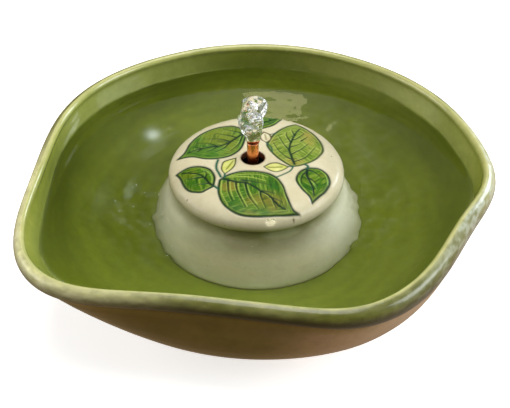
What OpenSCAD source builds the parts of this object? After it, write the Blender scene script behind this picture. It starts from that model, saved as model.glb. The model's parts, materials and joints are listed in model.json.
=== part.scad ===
// Tabletop ceramic fountain: a wide wavy-rimmed bowl, a carved bell-shaped
// pump cover, a copper spout and the submersible pump that feeds it.
// +Z is up. The origin is the centre of the bowl's flat foot. Millimetres.

/* [Bowl] */
// Radius of the flat foot the bowl stands on
foot_r = 95; // [85:1:105]
// Base radius of the rim crest, before the lobes are pulled out
rim_r = 169; // [160:1:180]
// Height of the rim crest above the foot, between the lobes
rim_h = 110; // [100:1:120]
// How much wider the belly is than the rim crest between the lobes
belly = 18; // [10:1:20]
// Height of the inside floor above the foot
floor_z = 11; // [9:1:13]
// Radius of the flat inside floor
floor_r = 90.5; // [88:0.5:91]
// Wall thickness of the bowl, measured across
bowl_wall = 9; // [8:0.5:11]
// Depth the rolled lip hangs down outside the wall
lip_h = 16; // [12:1:20]

/* [Pump cover] */
// Outer radius of the cover at its base
cover_base_r = 87.5; // [85:0.5:88]
// Radius of the cap at the water line
cap_r = 72.5; // [70:0.5:75]
// Height of the cover, base to crown
cover_h = 94; // [90:1:100]
// Wall thickness of the cover
cover_wall = 5.5; // [4.5:0.5:7]
// Radius of the spout hole in the crown
spout_hole_r = 9.3; // [9:0.1:10]
// Sideways place of the spout and pump axis
axis_x = -3; // [-5:0.5:5]
// Half width of the inlet notch in the back of the base
notch_r = 12; // [8:1:14]

/* [Spout and hose] */
// Outer radius of the copper spout
spout_r = 4.76; // [4.7:0.01:4.78]
// Wall thickness of the copper spout
spout_t = 0.76; // [0.6:0.02:1]
// Length of the copper spout
spout_len = 49; // [45:1:55]
// Height of the spout's lower end
spout_z0 = 72; // [71:1:76]
// Inner radius of the riser hose
hose_ri = 4.81; // [4.81:0.01:4.84]
// Wall thickness of the riser hose
hose_t = 1.55; // [1.4:0.05:2]

/* [Pump] */
// Half width of the pump housing
pump_hw = 19.5; // [19:0.5:22]
// Height of the pump housing's underside
pump_z0 = 17; // [16:0.5:18]
// Height of the pump housing
pump_h = 36; // [36:1:38]
// Corner radius of the pump housing
pump_cr = 4; // [2:0.5:5]
// Radius of the impeller chamber
chamber_r = 14; // [13.5:0.5:14]
// Inner radius of the rotor well
well_r = 9.2; // [9:0.1:9.4]
// Radius of the rotor magnet
magnet_r = 8.2; // [7.5:0.1:8.5]
// Radius of the fixed ceramic shaft
shaft_r = 1.15; // [1:0.05:1.3]
// Number of impeller blades
blades = 6; // [4:1:8]

/* [Hidden] */
$fn = 96;
pz = pump_z0 + pump_h / 2;       // height of the rotor axis
run = 0.05;                      // radial running clearance

// ---------- bowl ----------
// the lobes pulled out of the soft rim: [angle, spread, outward, down]
lobes = [[217, 23, 38, 9], [298, 25, 18, 6], [354, 16, 12, 5],
         [148, 25, 7, 1], [15, 31, 9, 0]];
function wrap(a) = let (b = a % 360) b > 180 ? b - 360 : b < -180 ? b + 360 : b;
function bump(a, l) = exp(-pow(wrap(a - l[0]) / l[1], 2));
function sum(v, i = 0) = i < len(v) ? v[i] + sum(v, i + 1) : 0;
function lobe_out(a) = sum([for (l = lobes) l[2] * bump(a, l)]);
function crest_z(a) = rim_h - sum([for (l = lobes) l[3] * bump(a, l)]);
// how far the lobes still show at a depth d under the crest
function fade(d) = exp(-pow(max(d, 0) / 35, 1.3));
// full radius of the wall at a depth d under the crest
function full_r(a, d) = rim_r + lobe_out(a) * fade(d) + belly * (1 - fade(d));
// how far the wall has opened out at a share s of its height
function open_out(s) = pow(1 - pow(1 - s, 1.8), 1 / 1.7);
function outer_pt(a, s) =
    let (zt = crest_z(a) - lip_h, z = 3 + (zt - 3) * s, d = zt - z)
    [foot_r + 2 + (full_r(a, d) - 1 - foot_r - 2) * open_out(s), z];
function inner_pt(a, s) =
    let (zt = crest_z(a) - 7, z = floor_z + (zt - floor_z) * s, d = zt + 7 - z)
    [floor_r + (full_r(a, d) - bowl_wall - floor_r) * open_out(s)
        + 5.5 * pow(s, 6), z];
// the rolled lip, outside edge to inside edge, about the crest
lip = [[2.2, -15.2], [5.4, -12.6], [6.9, -9], [6.6, -5.2], [4.6, -2],
       [2, -0.4], [0, 0], [-2, -1.2], [-3.1, -3.6]];
outer_s = [0, 0.006, 0.03, 0.07, 0.13, 0.21, 0.31, 0.43, 0.56, 0.7, 0.84, 0.95, 1];
inner_s = [0.99, 0.9, 0.78, 0.64, 0.5, 0.37, 0.26, 0.17, 0.1, 0.05, 0.018, 0.003];
function bowl_profile(a) = concat(
    [[foot_r, 0]],
    [for (s = outer_s) outer_pt(a, s)],
    [for (p = lip) [rim_r + lobe_out(a) + p[0], crest_z(a) + p[1]]],
    [for (s = inner_s) inner_pt(a, s)],
    [[floor_r, floor_z]]);
cols = 72;

module bowl() {
    rings = [for (i = [0:cols - 1]) bowl_profile(i * 360 / cols)];
    n = len(rings[0]);
    pts = [for (i = [0:cols - 1]) for (p = rings[i])
        [p[0] * cos(i * 360 / cols), p[0] * sin(i * 360 / cols), p[1]]];
    sides = [for (i = [0:cols - 1]) for (j = [0:n - 2])
        let (k = (i + 1) % cols, a = i * n + j, b = k * n + j)
        for (t = [[a, a + 1, b + 1], [a, b + 1, b]]) t];
    under = [for (i = [0:cols - 1]) i * n];
    floor = [for (i = [cols - 1:-1:0]) i * n + n - 1];
    color("olivedrab") polyhedron(pts, concat([under, floor], sides), convexity = 6);
}

// ---------- pump cover ----------
cover_z = floor_z;
cs = cover_h / 94;
// outside of the cover, base to crown: [radius, height over its base]
cover_out = [[cover_base_r, 0], [cover_base_r + 0.4, 3], [cover_base_r - 0.7, 12],
    [cap_r + 11.5, 25], [cap_r + 7.5, 40], [cap_r + 3.4, 54], [cap_r - 0.3, 64],
    [cap_r - 1.7, 69], [cap_r - 1.2, 73], [cap_r - 0.1, 77], [cap_r, 80.5],
    [cap_r - 1.8, 84.6], [cap_r - 6, 88], [cap_r - 13, 90.4],
    [cap_r - 26, 92.4], [cap_r - 45, 93.6], [spout_hole_r + 7, 94], [0.01, 94]];
cover_in = [[cover_base_r - cover_wall, 0], [cover_base_r - cover_wall, 3],
    [cover_base_r - cover_wall - 1.1, 12], [cap_r + 11.3 - cover_wall, 25],
    [cap_r + 7.2 - cover_wall, 40], [cap_r + 3 - cover_wall, 54],
    [cap_r - 0.6 - cover_wall, 64], [cap_r - 2.2 - cover_wall, 70],
    [cap_r - 2.4 - cover_wall, 76], [cap_r - 4.5 - cover_wall, 81],
    [cap_r - 12 - cover_wall, 84.6], [cap_r - 27 - cover_wall, 86.8],
    [cap_r - 45 - cover_wall, 88], [0.01, 88.4]];
// Catmull-Rom curve through the points of p, m steps to a span
function spline(p, m) = [for (i = [0:len(p) - 2]) for (j = [0:m - 1])
    let (a = p[max(i - 1, 0)], b = p[i], c = p[i + 1], d = p[min(i + 2, len(p) - 1)], t = j / m)
    0.5 * (2 * b + (c - a) * t + (2 * a - 5 * b + 4 * c - d) * t * t
        + (3 * b - a - 3 * c + d) * t * t * t)];
module scaled_profile(p, m, lift = 0) {
    q = spline(p, m);
    polygon(concat([for (v = q) [max(v[0], 0), v[1] * cs - (v[1] == 0 ? lift : 0)]],
        [[0, p[len(p) - 1][1] * cs], [0, -lift]]));
}
module pump_cover() {
    color("antiquewhite") translate([0, 0, cover_z]) difference() {
        rotate_extrude() scaled_profile(cover_out, 3);
        rotate_extrude() scaled_profile(cover_in, 3, 1);
        translate([axis_x, 0, 70]) cylinder(r = spout_hole_r, h = 40);
        // water inlet and the lead's way out, cut in the back of the base
        rotate([0, 0, 90]) translate([60, 0, 1.3]) rotate([0, 90, 0])
            cylinder(r = notch_r, h = 30);
    }
}

// ---------- spout, hose and nozzle ----------
module copper_spout() {
    color("chocolate") translate([axis_x, 0, spout_z0]) difference() {
        cylinder(r = spout_r, h = spout_len);
        translate([0, 0, -1]) cylinder(r = spout_r - spout_t, h = spout_len + 2);
    }
}
nozzle_z = pump_z0 + pump_h;
module riser_hose() {
    color("whitesmoke") translate([axis_x, 0, nozzle_z + 2.6]) difference() {
        cylinder(r = hose_ri + hose_t, h = 34.4);
        translate([0, 0, -1]) cylinder(r = hose_ri, h = 40);
    }
}
module outlet_nozzle() {
    color("dimgray") translate([axis_x, 0, nozzle_z]) difference() {
        union() {
            translate([0, 0, -3.8]) cylinder(r = 5.45, h = 4);
            cylinder(r = 8, h = 2.5);
            cylinder(r = 4.5, h = 16.5);
            for (z = [4, 8, 12]) translate([0, 0, z])
                cylinder(r1 = hose_ri, r2 = 4.5, h = 3);
        }
        translate([0, 0, -5]) cylinder(r = 3.6, h = 30);
    }
}

// ---------- pump ----------
// a block with round long edges, lying along Y from y0 to y1
module block(hw, z0, z1, y0, y1, r) {
    translate([axis_x, 0, 0]) {
        translate([-hw + r, y0, z0]) cube([2 * (hw - r), y1 - y0, z1 - z0]);
        translate([-hw, y0, z0 + r]) cube([2 * hw, y1 - y0, z1 - z0 - 2 * r]);
        for (x = [-hw + r, hw - r]) for (z = [z0 + r, z1 - r])
            translate([x, y0, z]) rotate([-90, 0, 0]) cylinder(r = r, h = y1 - y0);
    }
}
// a cylinder on the rotor axis from y0 to y1
module rod(r, y0, y1, r2 = -1) {
    translate([axis_x, y0, pz]) rotate([-90, 0, 0])
        cylinder(r1 = r, r2 = r2 < 0 ? r : r2, h = y1 - y0);
}
cup_spots = [[-12.5, 0], [12.5, 0], [-12.5, 40], [12.5, 40]];
pump_z1 = pump_z0 + pump_h;

module pump_housing() {
    color("darkslategray") difference() {
        union() {
            block(pump_hw, pump_z0, pump_z1, -9, 50.5, pump_cr);
            // stiffening ribs over the motor half
            for (y = [14, 22, 30, 38]) translate([axis_x - 12, y, pump_z1 - 0.5])
                cube([24, 2, 1.7]);
        }
        rod(chamber_r, -10, 7);
        rod(well_r, 6, 34);
        // groove for the face seal
        difference() {
            rod(chamber_r + 2.3, -10, -7.4);
            rod(chamber_r + 0.7, -11, -7);
        }
        // motor compartment around the rotor well
        difference() {
            block(pump_hw - 2.2, pump_z0 + 2.2, pump_z1 - 2.2, 9, 52, 2);
            rod(well_r + 1.2, 5, 35.2);
        }
        // seat of the outlet nozzle
        translate([axis_x, 0, pz]) cylinder(r = 5.5, h = 40);
        // sockets of the suction cups
        for (p = cup_spots) translate([axis_x + p[0], p[1], pump_z0 - 1])
            cylinder(r = 2.05, h = 2.6);
    }
    color("darkslategray") difference() {
        rod(4.6, 31.8, 34.1);
        rod(3.05, 31, 34.0);
    }
}
module back_plate() {
    color("darkslategray") difference() {
        block(pump_hw, pump_z0, pump_z1, 50.5, 53.3, pump_cr);
        rod(4.5, 50, 54);
    }
}
module cord_gland() {
    color("black") difference() {
        union() {
            rod(4.45, 50.7, 53.4);
            rod(6.4, 53.3, 55.3);
            rod(5.2, 55.2, 63, 3.8);
        }
        rod(2.7, 50, 64);
    }
}
module stator_core() {
    color("slategray") difference() {
        union() {
            for (s = [-1, 1]) translate([axis_x + s * 12.6 - 2.6, 12, pz - 7.5])
                cube([5.2, 34, 15]);
            translate([axis_x - 12, 42, pz - 7.5]) cube([24, 4, 15]);
        }
        rod(well_r + 1.3, 5, 35.4);
    }
}
module coil_bobbin() {
    color("ivory") difference() {
        union() {
            translate([axis_x - 9, 40.9, pz - 8.6]) cube([18, 6.2, 17.2]);
            for (x = [-9.4, 8.4]) translate([axis_x + x, 37.6, pz - 12])
                cube([1, 12.7, 24]);
        }
        translate([axis_x - 11, 41.95, pz - 7.55]) cube([22, 4.1, 15.1]);
    }
}
module coil_winding() {
    color("peru") difference() {
        translate([axis_x - 8.3, 38.1, pz - 11.4]) cube([16.6, 11.8, 22.8]);
        translate([axis_x - 9, 40.85, pz - 8.65]) cube([18, 6.3, 17.3]);
    }
}
module potting_block() {
    color("dimgray") difference() {
        block(pump_hw - 2.3, pump_z0 + 2.3, pump_z1 - 2.3, 9.1, 50.4, 2);
        rod(well_r + 1.3, 5, 35.3);
        translate([axis_x - 15.3, 11.9, pz - 7.6]) cube([30.6, 34.2, 15.2]);
        translate([axis_x - 9.5, 37.5, pz - 12.1]) cube([19, 14, 24.2]);
        rod(5, 46, 52);
    }
}
module rotor_magnet() {
    color("darkgray") difference() {
        rod(magnet_r, 9, 30.5);
        rod(4, 8, 31);
    }
}
module impeller() {
    color("gainsboro") difference() {
        union() {
            rod(4, -7, 30.5);
            rod(11.5, 1, 3);
            for (i = [0:blades - 1]) translate([axis_x, 0, pz])
                rotate([0, i * 360 / blades, 0])
                translate([2.5, -6, -0.6]) cube([8.8, 7.5, 1.2]);
            // step that the magnet butts against
            rod(6, 3, 9);
        }
        rod(shaft_r + run, -8, 32);
    }
}
module thrust_washers() {
    color("white") for (y = [-7.8, 30.6]) difference() {
        rod(3, y, y + 0.7);
        rod(shaft_r + run, y - 1, y + 2);
    }
}
module rotor_shaft() {
    color("white") rod(shaft_r, -10.4, 33.2);
}
module front_bushing() {
    color("black") difference() {
        rod(2, -11, -8.2);
        rod(shaft_r + 0.01, -10.5, -8);
    }
}
module rear_bushing() {
    color("black") difference() {
        rod(3, 31.7, 33.95);
        rod(shaft_r + 0.01, 31, 33.3);
    }
}
module chamber_cover() {
    color("darkslategray") {
        difference() {
            union() {
                block(pump_hw - 2.3, pump_z0 + 2.3, pump_z1 - 2.3, -12, -9, 2);
                rod(chamber_r - 0.1, -9.1, -7.6);
            }
            rod(7, -13, -7);
        }
        difference() {
            union() {
                rod(3.2, -12, -8.2);
                for (i = [0:2]) translate([axis_x, 0, pz]) rotate([0, 90 + i * 120, 0])
                    translate([2, -12, -0.8]) cube([5.6, 2.4, 1.6]);
            }
            rod(2.05, -11, -7);
        }
    }
}
module o_ring() {
    color("black") translate([axis_x, -8.2, pz]) rotate([90, 0, 0])
        rotate_extrude() translate([chamber_r + 1.5, 0]) circle(r = 0.79, $fn = 24);
}
module intake_grille() {
    color("darkslategray") difference() {
        block(pump_hw, pump_z0, pump_z1, -27, -9.3, pump_cr);
        block(pump_hw - 2, pump_z0 + 2, pump_z1 - 2, -25, -8, 2.3);
        rod(2.56, -28, -24);
        // ports behind the flow dial
        for (i = [0:3]) translate([axis_x, -28, pz]) rotate([-90, 0, 0])
            rotate([0, 0, i * 90]) translate([5.9, 0, 0]) cylinder(r = 1.7, h = 4);
        // front slots
        for (x = [-15.5, -11.9, 10.1, 13.7]) translate([axis_x + x, -28, pump_z0 + 6])
            cube([1.8, 4, pump_h - 12]);
        for (x = [-8.3, -4.7, -0.9, 2.9, 6.5]) for (z = [pump_z0 + 3.5, pump_z1 - 7.5])
            translate([axis_x + x, -28, z]) cube([1.8, 4, 4]);
        // side slots
        for (z = [pump_z0 + 6 : 4 : pump_z1 - 7]) translate([axis_x - 30, -23.5, z])
            cube([60, 9, 1.8]);
    }
}
module foam_filter() {
    color("darkgray") difference() {
        block(pump_hw - 2.4, pump_z0 + 2.4, pump_z1 - 2.4, -23, -13.5, 2);
        rod(5, -24, -12);
    }
}
module flow_dial() {
    color("lightgray") difference() {
        union() {
            rod(9, -29.2, -27.2);
            rod(2.5, -27.3, -24.0);
            rod(3.3, -24.8, -23.6);
            translate([axis_x - 1.5, -32, pz - 8]) cube([3, 3, 16]);
        }
        for (i = [0:3]) translate([axis_x, -33, pz]) rotate([-90, 0, 0])
            rotate([0, 0, i * 90]) translate([5.9, 0, 0]) cylinder(r = 1.7, h = 7);
    }
}
module suction_cups() {
    color("gray") for (p = cup_spots) translate([axis_x + p[0], p[1], floor_z])
        difference() {
            union() {
                cylinder(r1 = 7.2, r2 = 3.2, h = 4.2);
                cylinder(r = 3.2, h = pump_z0 - floor_z);
                cylinder(r = 2, h = pump_z0 - floor_z + 1.5);
            }
            translate([0, 0, -1.2]) cylinder(r1 = 7.6, r2 = 1.2, h = 3.6);
        }
}

bowl();
pump_cover();
copper_spout();
riser_hose();
outlet_nozzle();
pump_housing();
back_plate();
cord_gland();
stator_core();
coil_bobbin();
coil_winding();
potting_block();
rotor_magnet();
impeller();
thrust_washers();
rotor_shaft();
front_bushing();
rear_bushing();
chamber_cover();
o_ring();
intake_grille();
foam_filter();
flow_dial();
suction_cups();
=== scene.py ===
import json
import math
import bpy
import numpy as np
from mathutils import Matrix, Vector


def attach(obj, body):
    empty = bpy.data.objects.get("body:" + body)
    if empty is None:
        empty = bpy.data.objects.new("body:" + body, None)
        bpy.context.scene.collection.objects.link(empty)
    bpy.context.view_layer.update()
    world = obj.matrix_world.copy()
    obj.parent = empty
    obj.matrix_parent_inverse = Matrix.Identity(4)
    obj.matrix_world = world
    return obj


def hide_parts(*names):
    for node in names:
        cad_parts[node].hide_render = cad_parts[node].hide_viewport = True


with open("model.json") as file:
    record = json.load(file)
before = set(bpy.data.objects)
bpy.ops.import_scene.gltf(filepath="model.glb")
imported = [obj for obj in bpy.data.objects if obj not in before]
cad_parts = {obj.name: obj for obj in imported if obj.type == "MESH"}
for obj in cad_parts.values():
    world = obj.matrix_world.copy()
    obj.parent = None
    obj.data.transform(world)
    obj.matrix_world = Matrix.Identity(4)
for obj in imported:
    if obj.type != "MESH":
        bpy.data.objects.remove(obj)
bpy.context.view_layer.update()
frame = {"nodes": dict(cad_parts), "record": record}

MM = 0.001
NODES = frame["nodes"]

# ------------------------------------------------------------------ sizes (mm)
WATER = 85.6          # height of the water's surface above the foot
EYE_Z = 88.0           # height the camera looks at
AXIS_X = -3.0         # spout and pump axis
FOOT_R, RIM_R, RIM_H, BELLY = 95.0, 169.0, 110.0, 18.0
FLOOR_Z, FLOOR_R, BOWL_WALL, LIP_H = 11.0, 90.5, 9.0, 16.0
BASE_R, CAP_R, COVER_WALL, HOLE_R = 87.5, 72.5, 5.5, 9.3
NOTCH_R = 12.0
SPOUT_R, SPOUT_T, SPOUT_LEN, SPOUT_Z0 = 4.76, 0.76, 49.0, 72.0
HOSE_RI, HOSE_T = 4.81, 1.55
PUMP_TOP = 53.0


# ------------------------------------------------------------------ helpers
def lin(r, g, b, a=1.0):
    """sRGB 0..255 to a linear colour."""
    out = []
    for c in (r, g, b):
        c /= 255.0
        out.append(c / 12.92 if c <= 0.04045 else ((c + 0.055) / 1.055) ** 2.4)
    return (*out, a)


def lin3(r, g, b):
    return np.array(lin(r, g, b)[:3])


def smooth(e0, e1, x):
    t = np.clip((x - e0) / (e1 - e0), 0.0, 1.0)
    return t * t * (3 - 2 * t)


def mixc(a, b, t):
    return a + (b - a) * t[..., None]


_rng = np.random.RandomState(7)
_lat = _rng.rand(64, 64, 64).astype(np.float32)


def noise3(p, scale, off=0.0):
    """Smooth value noise 0..1 of points p (n,3) with features `scale` across."""
    q = np.asarray(p) / scale + 17.3 + off
    i = np.floor(q).astype(int)
    f = q - i
    f = f * f * (3 - 2 * f)
    i &= 63
    j = (i + 1) & 63
    out = 0.0
    for dx in (0, 1):
        for dy in (0, 1):
            for dz in (0, 1):
                w = ((f[..., 0] if dx else 1 - f[..., 0])
                     * (f[..., 1] if dy else 1 - f[..., 1])
                     * (f[..., 2] if dz else 1 - f[..., 2]))
                out = out + w * _lat[(j if dx else i)[..., 0], (j if dy else i)[..., 1], (j if dz else i)[..., 2]]
    return out


def fbm(p, scale, octaves=4, off=0.0):
    s, a, t = 0.0, 1.0, 0.0
    for k in range(octaves):
        s = s + a * noise3(p, scale / 2 ** k, off + 5.1 * k)
        t += a
        a *= 0.5
    return s / t


def make_mesh(name, verts, faces, material, attrs=None, smooth_shade=True):
    """verts in mm. attrs: {name: (n,3) colours or (n,) floats}"""
    me = bpy.data.meshes.new(name)
    v = np.asarray(verts, dtype=np.float64) * MM
    f = np.asarray(faces, dtype=np.int64) if not isinstance(faces, list) else None
    if f is not None and f.ndim == 2:
        n, k = f.shape
        me.vertices.add(len(v))
        me.vertices.foreach_set("co", v.astype(np.float32).ravel())
        me.loops.add(n * k)
        me.loops.foreach_set("vertex_index", f.astype(np.int32).ravel())
        me.polygons.add(n)
        me.polygons.foreach_set("loop_start", (np.arange(n) * k).astype(np.int32))
        me.update(calc_edges=True)
    else:
        me.from_pydata([tuple(p) for p in v], [], [tuple(q) for q in faces])
    me.validate()
    for k, a in (attrs or {}).items():
        a = np.asarray(a, dtype=np.float32)
        if a.ndim == 2:
            at = me.attributes.new(k, "FLOAT_COLOR", "POINT")
            at.data.foreach_set("color", np.c_[a, np.ones(len(a), np.float32)].ravel())
        else:
            at = me.attributes.new(k, "FLOAT", "POINT")
            at.data.foreach_set("value", a.ravel())
    if smooth_shade:
        me.polygons.foreach_set("use_smooth", [True] * len(me.polygons))
    me.update()
    ob = bpy.data.objects.new(name, me)
    bpy.context.scene.collection.objects.link(ob)
    if material is not None:
        me.materials.append(material)
    return ob


def grid_faces(rows, cols, close_cols=True, flip=False, start=0):
    """Quads of a grid stored column by column: index = start + col * rows + row."""
    c = np.arange(cols if close_cols else cols - 1)
    r = np.arange(rows - 1)
    C, R = np.meshgrid(c, r, indexing="ij")
    C2 = (C + 1) % cols
    a, b = C * rows + R, C * rows + R + 1
    d, e = C2 * rows + R, C2 * rows + R + 1
    q = np.stack([a, d, e, b] if not flip else [a, b, e, d], axis=-1).reshape(-1, 4)
    return q + start


def catmull(p, m, closed=False):
    """Catmull-Rom through the points p (n,k), m steps to a span."""
    p = np.asarray(p, float)
    n = len(p)
    out = []
    for i in range(n if closed else n - 1):
        if closed:
            a, b, c, d = p[(i - 1) % n], p[i], p[(i + 1) % n], p[(i + 2) % n]
        else:
            a, b, c, d = p[max(i - 1, 0)], p[i], p[i + 1], p[min(i + 2, n - 1)]
        for j in range(m):
            t = j / m
            out.append(0.5 * (2 * b + (c - a) * t + (2 * a - 5 * b + 4 * c - d) * t * t
                              + (3 * b - a - 3 * c + d) * t ** 3))
    if not closed:
        out.append(p[-1])
    return np.array(out)


def lathe(name, profile, material, x=0.0, y=0.0, cols=96, closed=True, attrs=None):
    """A body turned about the vertical line (x, y). profile: (r, z) in mm."""
    prof = np.asarray(profile, float)
    a = np.arange(cols) * 2 * math.pi / cols
    n = len(prof)
    V = np.stack([x + prof[None, :, 0] * np.cos(a)[:, None], y + prof[None, :, 0] * np.sin(a)[:, None],
                  np.repeat(prof[None, :, 1], cols, 0)], -1).reshape(-1, 3)
    F = grid_faces(n, cols)
    if closed:
        c = np.arange(cols)
        c2 = (c + 1) % cols
        F = np.r_[F, np.stack([c * n + n - 1, c2 * n + n - 1, c2 * n, c * n], -1)]
    return make_mesh(name, V, F, material, attrs)


# ------------------------------------------------------------------ materials
def new_mat(name):
    m = bpy.data.materials.new(name)
    m.use_nodes = True
    nt = m.node_tree
    for n in list(nt.nodes):
        nt.nodes.remove(n)
    out = nt.nodes.new("ShaderNodeOutputMaterial")
    b = nt.nodes.new("ShaderNodeBsdfPrincipled")
    nt.links.new(b.outputs[0], out.inputs[0])
    return m, nt, b, out


def nd(nt, kind, **kw):
    n = nt.nodes.new(kind)
    for k, v in kw.items():
        if k == "inputs":
            for i, val in v.items():
                n.inputs[i].default_value = val
        else:
            setattr(n, k, v)
    return n


def coords(nt):
    return nd(nt, "ShaderNodeTexCoord").outputs["Object"]


def noise_tex(nt, vec, scale, detail=4.0, rough=0.55, dist=0.0):
    n = nd(nt, "ShaderNodeTexNoise")
    n.inputs["Scale"].default_value = scale
    n.inputs["Detail"].default_value = detail
    n.inputs["Roughness"].default_value = rough
    n.inputs["Distortion"].default_value = dist
    nt.links.new(vec, n.inputs["Vector"])
    return n.outputs["Fac"]


def ramp(nt, fac, stops):
    r = nd(nt, "ShaderNodeValToRGB")
    e = r.color_ramp.elements
    while len(e) < len(stops):
        e.new(0.5)
    for s, (p, c) in zip(e, stops):
        s.position = p
        s.color = c if len(c) == 4 else (*c, 1)
    nt.links.new(fac, r.inputs[0])
    return r.outputs[0]


def mix(nt, a, b, fac, mode="MIX"):
    m = nd(nt, "ShaderNodeMix", data_type="RGBA", blend_type=mode)
    for sock, v in ((m.inputs[0], fac), (m.inputs[6], a), (m.inputs[7], b)):
        if isinstance(v, (int, float, tuple)):
            sock.default_value = v
        else:
            nt.links.new(v, sock)
    return m.outputs[2]


def bump(nt, b, height, strength, dist=0.0005, prev=None):
    n = nd(nt, "ShaderNodeBump")
    n.inputs["Strength"].default_value = strength
    n.inputs["Distance"].default_value = dist
    nt.links.new(height, n.inputs["Height"])
    if prev is not None:
        nt.links.new(prev, n.inputs["Normal"])
    nt.links.new(n.outputs[0], b.inputs["Normal"])
    return n.outputs[0]


def mapr(nt, fac, lo, hi, a=0.0, b=1.0):
    m = nd(nt, "ShaderNodeMapRange")
    m.inputs[1].default_value = a
    m.inputs[2].default_value = b
    m.inputs[3].default_value = lo
    m.inputs[4].default_value = hi
    nt.links.new(fac, m.inputs[0])
    return m.outputs[0]


def attr(nt, name, kind="Color"):
    return nd(nt, "ShaderNodeAttribute", attribute_name=name).outputs[kind]


def glaze_bowl(name, specular, coat):
    """Celadon-green glaze over stoneware: pooled and broken colour, fine pits, a wavy gloss."""
    m, nt, b, _ = new_mat(name)
    co = coords(nt)
    base = attr(nt, "tint")
    n1 = noise_tex(nt, co, 24, 5, 0.6, 0.3)
    n2 = noise_tex(nt, co, 150, 4, 0.6)
    n3 = noise_tex(nt, co, 1000, 3, 0.5)
    c = mix(nt, base, ramp(nt, n1, [(0.3, (0.40, 0.42, 0.38)), (0.7, (0.60, 0.58, 0.62))]), 0.6, "OVERLAY")
    c = mix(nt, c, ramp(nt, n2, [(0.3, (0.42, 0.43, 0.40)), (0.72, (0.58, 0.57, 0.60))]), 0.5, "OVERLAY")
    speck = ramp(nt, n3, [(0.66, (1, 1, 1)), (0.76, (0.45, 0.36, 0.2))])
    c = mix(nt, c, speck, 0.22, "MULTIPLY")
    nt.links.new(c, b.inputs["Base Color"])
    nt.links.new(mapr(nt, attr(nt, "matt", "Fac"), 0.13, 0.75), b.inputs["Roughness"])
    b.inputs["Specular IOR Level"].default_value = specular
    b.inputs["IOR"].default_value = 1.5
    b.inputs["Coat Weight"].default_value = coat
    b.inputs["Coat Roughness"].default_value = 0.05
    k = bump(nt, b, noise_tex(nt, co, 60, 3, 0.5), 0.10, 0.0012)
    k = bump(nt, b, noise_tex(nt, co, 420, 3, 0.5), 0.06, 0.0004, k)
    bump(nt, b, n3, 0.04, 0.00025, k)
    return m


def glaze_cover():
    m, nt, b, _ = new_mat("cover_glaze")
    co = coords(nt)
    base = attr(nt, "paint")
    n1 = noise_tex(nt, co, 40, 5, 0.6, 0.2)
    n2 = noise_tex(nt, co, 260, 4, 0.6)
    n3 = noise_tex(nt, co, 620, 2, 0.4)
    c = mix(nt, base, ramp(nt, n1, [(0.3, (0.455, 0.45, 0.43)), (0.7, (0.545, 0.545, 0.55))]), 0.6, "OVERLAY")
    c = mix(nt, c, ramp(nt, n2, [(0.25, (0.45, 0.445, 0.43)), (0.75, (0.55, 0.55, 0.55))]), 0.5, "OVERLAY")
    c = mix(nt, c, ramp(nt, n3, [(0.74, (1, 1, 1)), (0.79, (0.3, 0.16, 0.07))]), 0.7, "MULTIPLY")
    nt.links.new(c, b.inputs["Base Color"])
    mr = mapr(nt, attr(nt, "matt", "Fac"), 0.2, 0.8)
    nt.links.new(mr, b.inputs["Roughness"])
    b.inputs["IOR"].default_value = 1.5
    b.inputs["Specular IOR Level"].default_value = 0.22
    k = bump(nt, b, noise_tex(nt, co, 90, 3, 0.5), 0.15, 0.001)
    bump(nt, b, noise_tex(nt, co, 700, 3, 0.5), 0.1, 0.0003, k)
    return m


def copper_mat(name="copper", wire=False):
    m, nt, b, _ = new_mat(name)
    co = coords(nt)
    mp = nd(nt, "ShaderNodeMapping")
    mp.inputs["Scale"].default_value = (1, 1, 0.06)
    nt.links.new(co, mp.inputs[0])
    streak = noise_tex(nt, mp.outputs[0], 900, 4, 0.6)
    patch = noise_tex(nt, co, 160, 4, 0.6, 0.5)
    c = ramp(nt, patch, [(0.3, lin(206, 112, 56)), (0.55, lin(240, 152, 92)), (0.8, lin(248, 186, 134))])
    c = mix(nt, c, ramp(nt, streak, [(0.35, (0.36, 0.33, 0.32)), (0.65, (0.64, 0.63, 0.62))]), 0.5, "OVERLAY")
    nt.links.new(c, b.inputs["Base Color"])
    b.inputs["Metallic"].default_value = 1.0
    nt.links.new(mapr(nt, patch, 0.16, 0.36, 0.3, 0.7), b.inputs["Roughness"])
    bump(nt, b, streak, 0.12, 0.0002)
    return m


def winding_mat():
    m, nt, b, _ = new_mat("coil_copper")
    co = coords(nt)
    w = nd(nt, "ShaderNodeTexWave", wave_type="BANDS", bands_direction="X")
    w.inputs["Scale"].default_value = 420
    w.inputs["Distortion"].default_value = 0.4
    nt.links.new(co, w.inputs["Vector"])
    c = ramp(nt, w.outputs["Fac"], [(0.0, lin(70, 24, 8)), (0.5, lin(170, 84, 36)), (1.0, lin(208, 122, 62))])
    nt.links.new(c, b.inputs["Base Color"])
    b.inputs["Metallic"].default_value = 0.9
    b.inputs["Roughness"].default_value = 0.34
    bump(nt, b, w.outputs["Fac"], 0.6, 0.0003)
    return m


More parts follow.
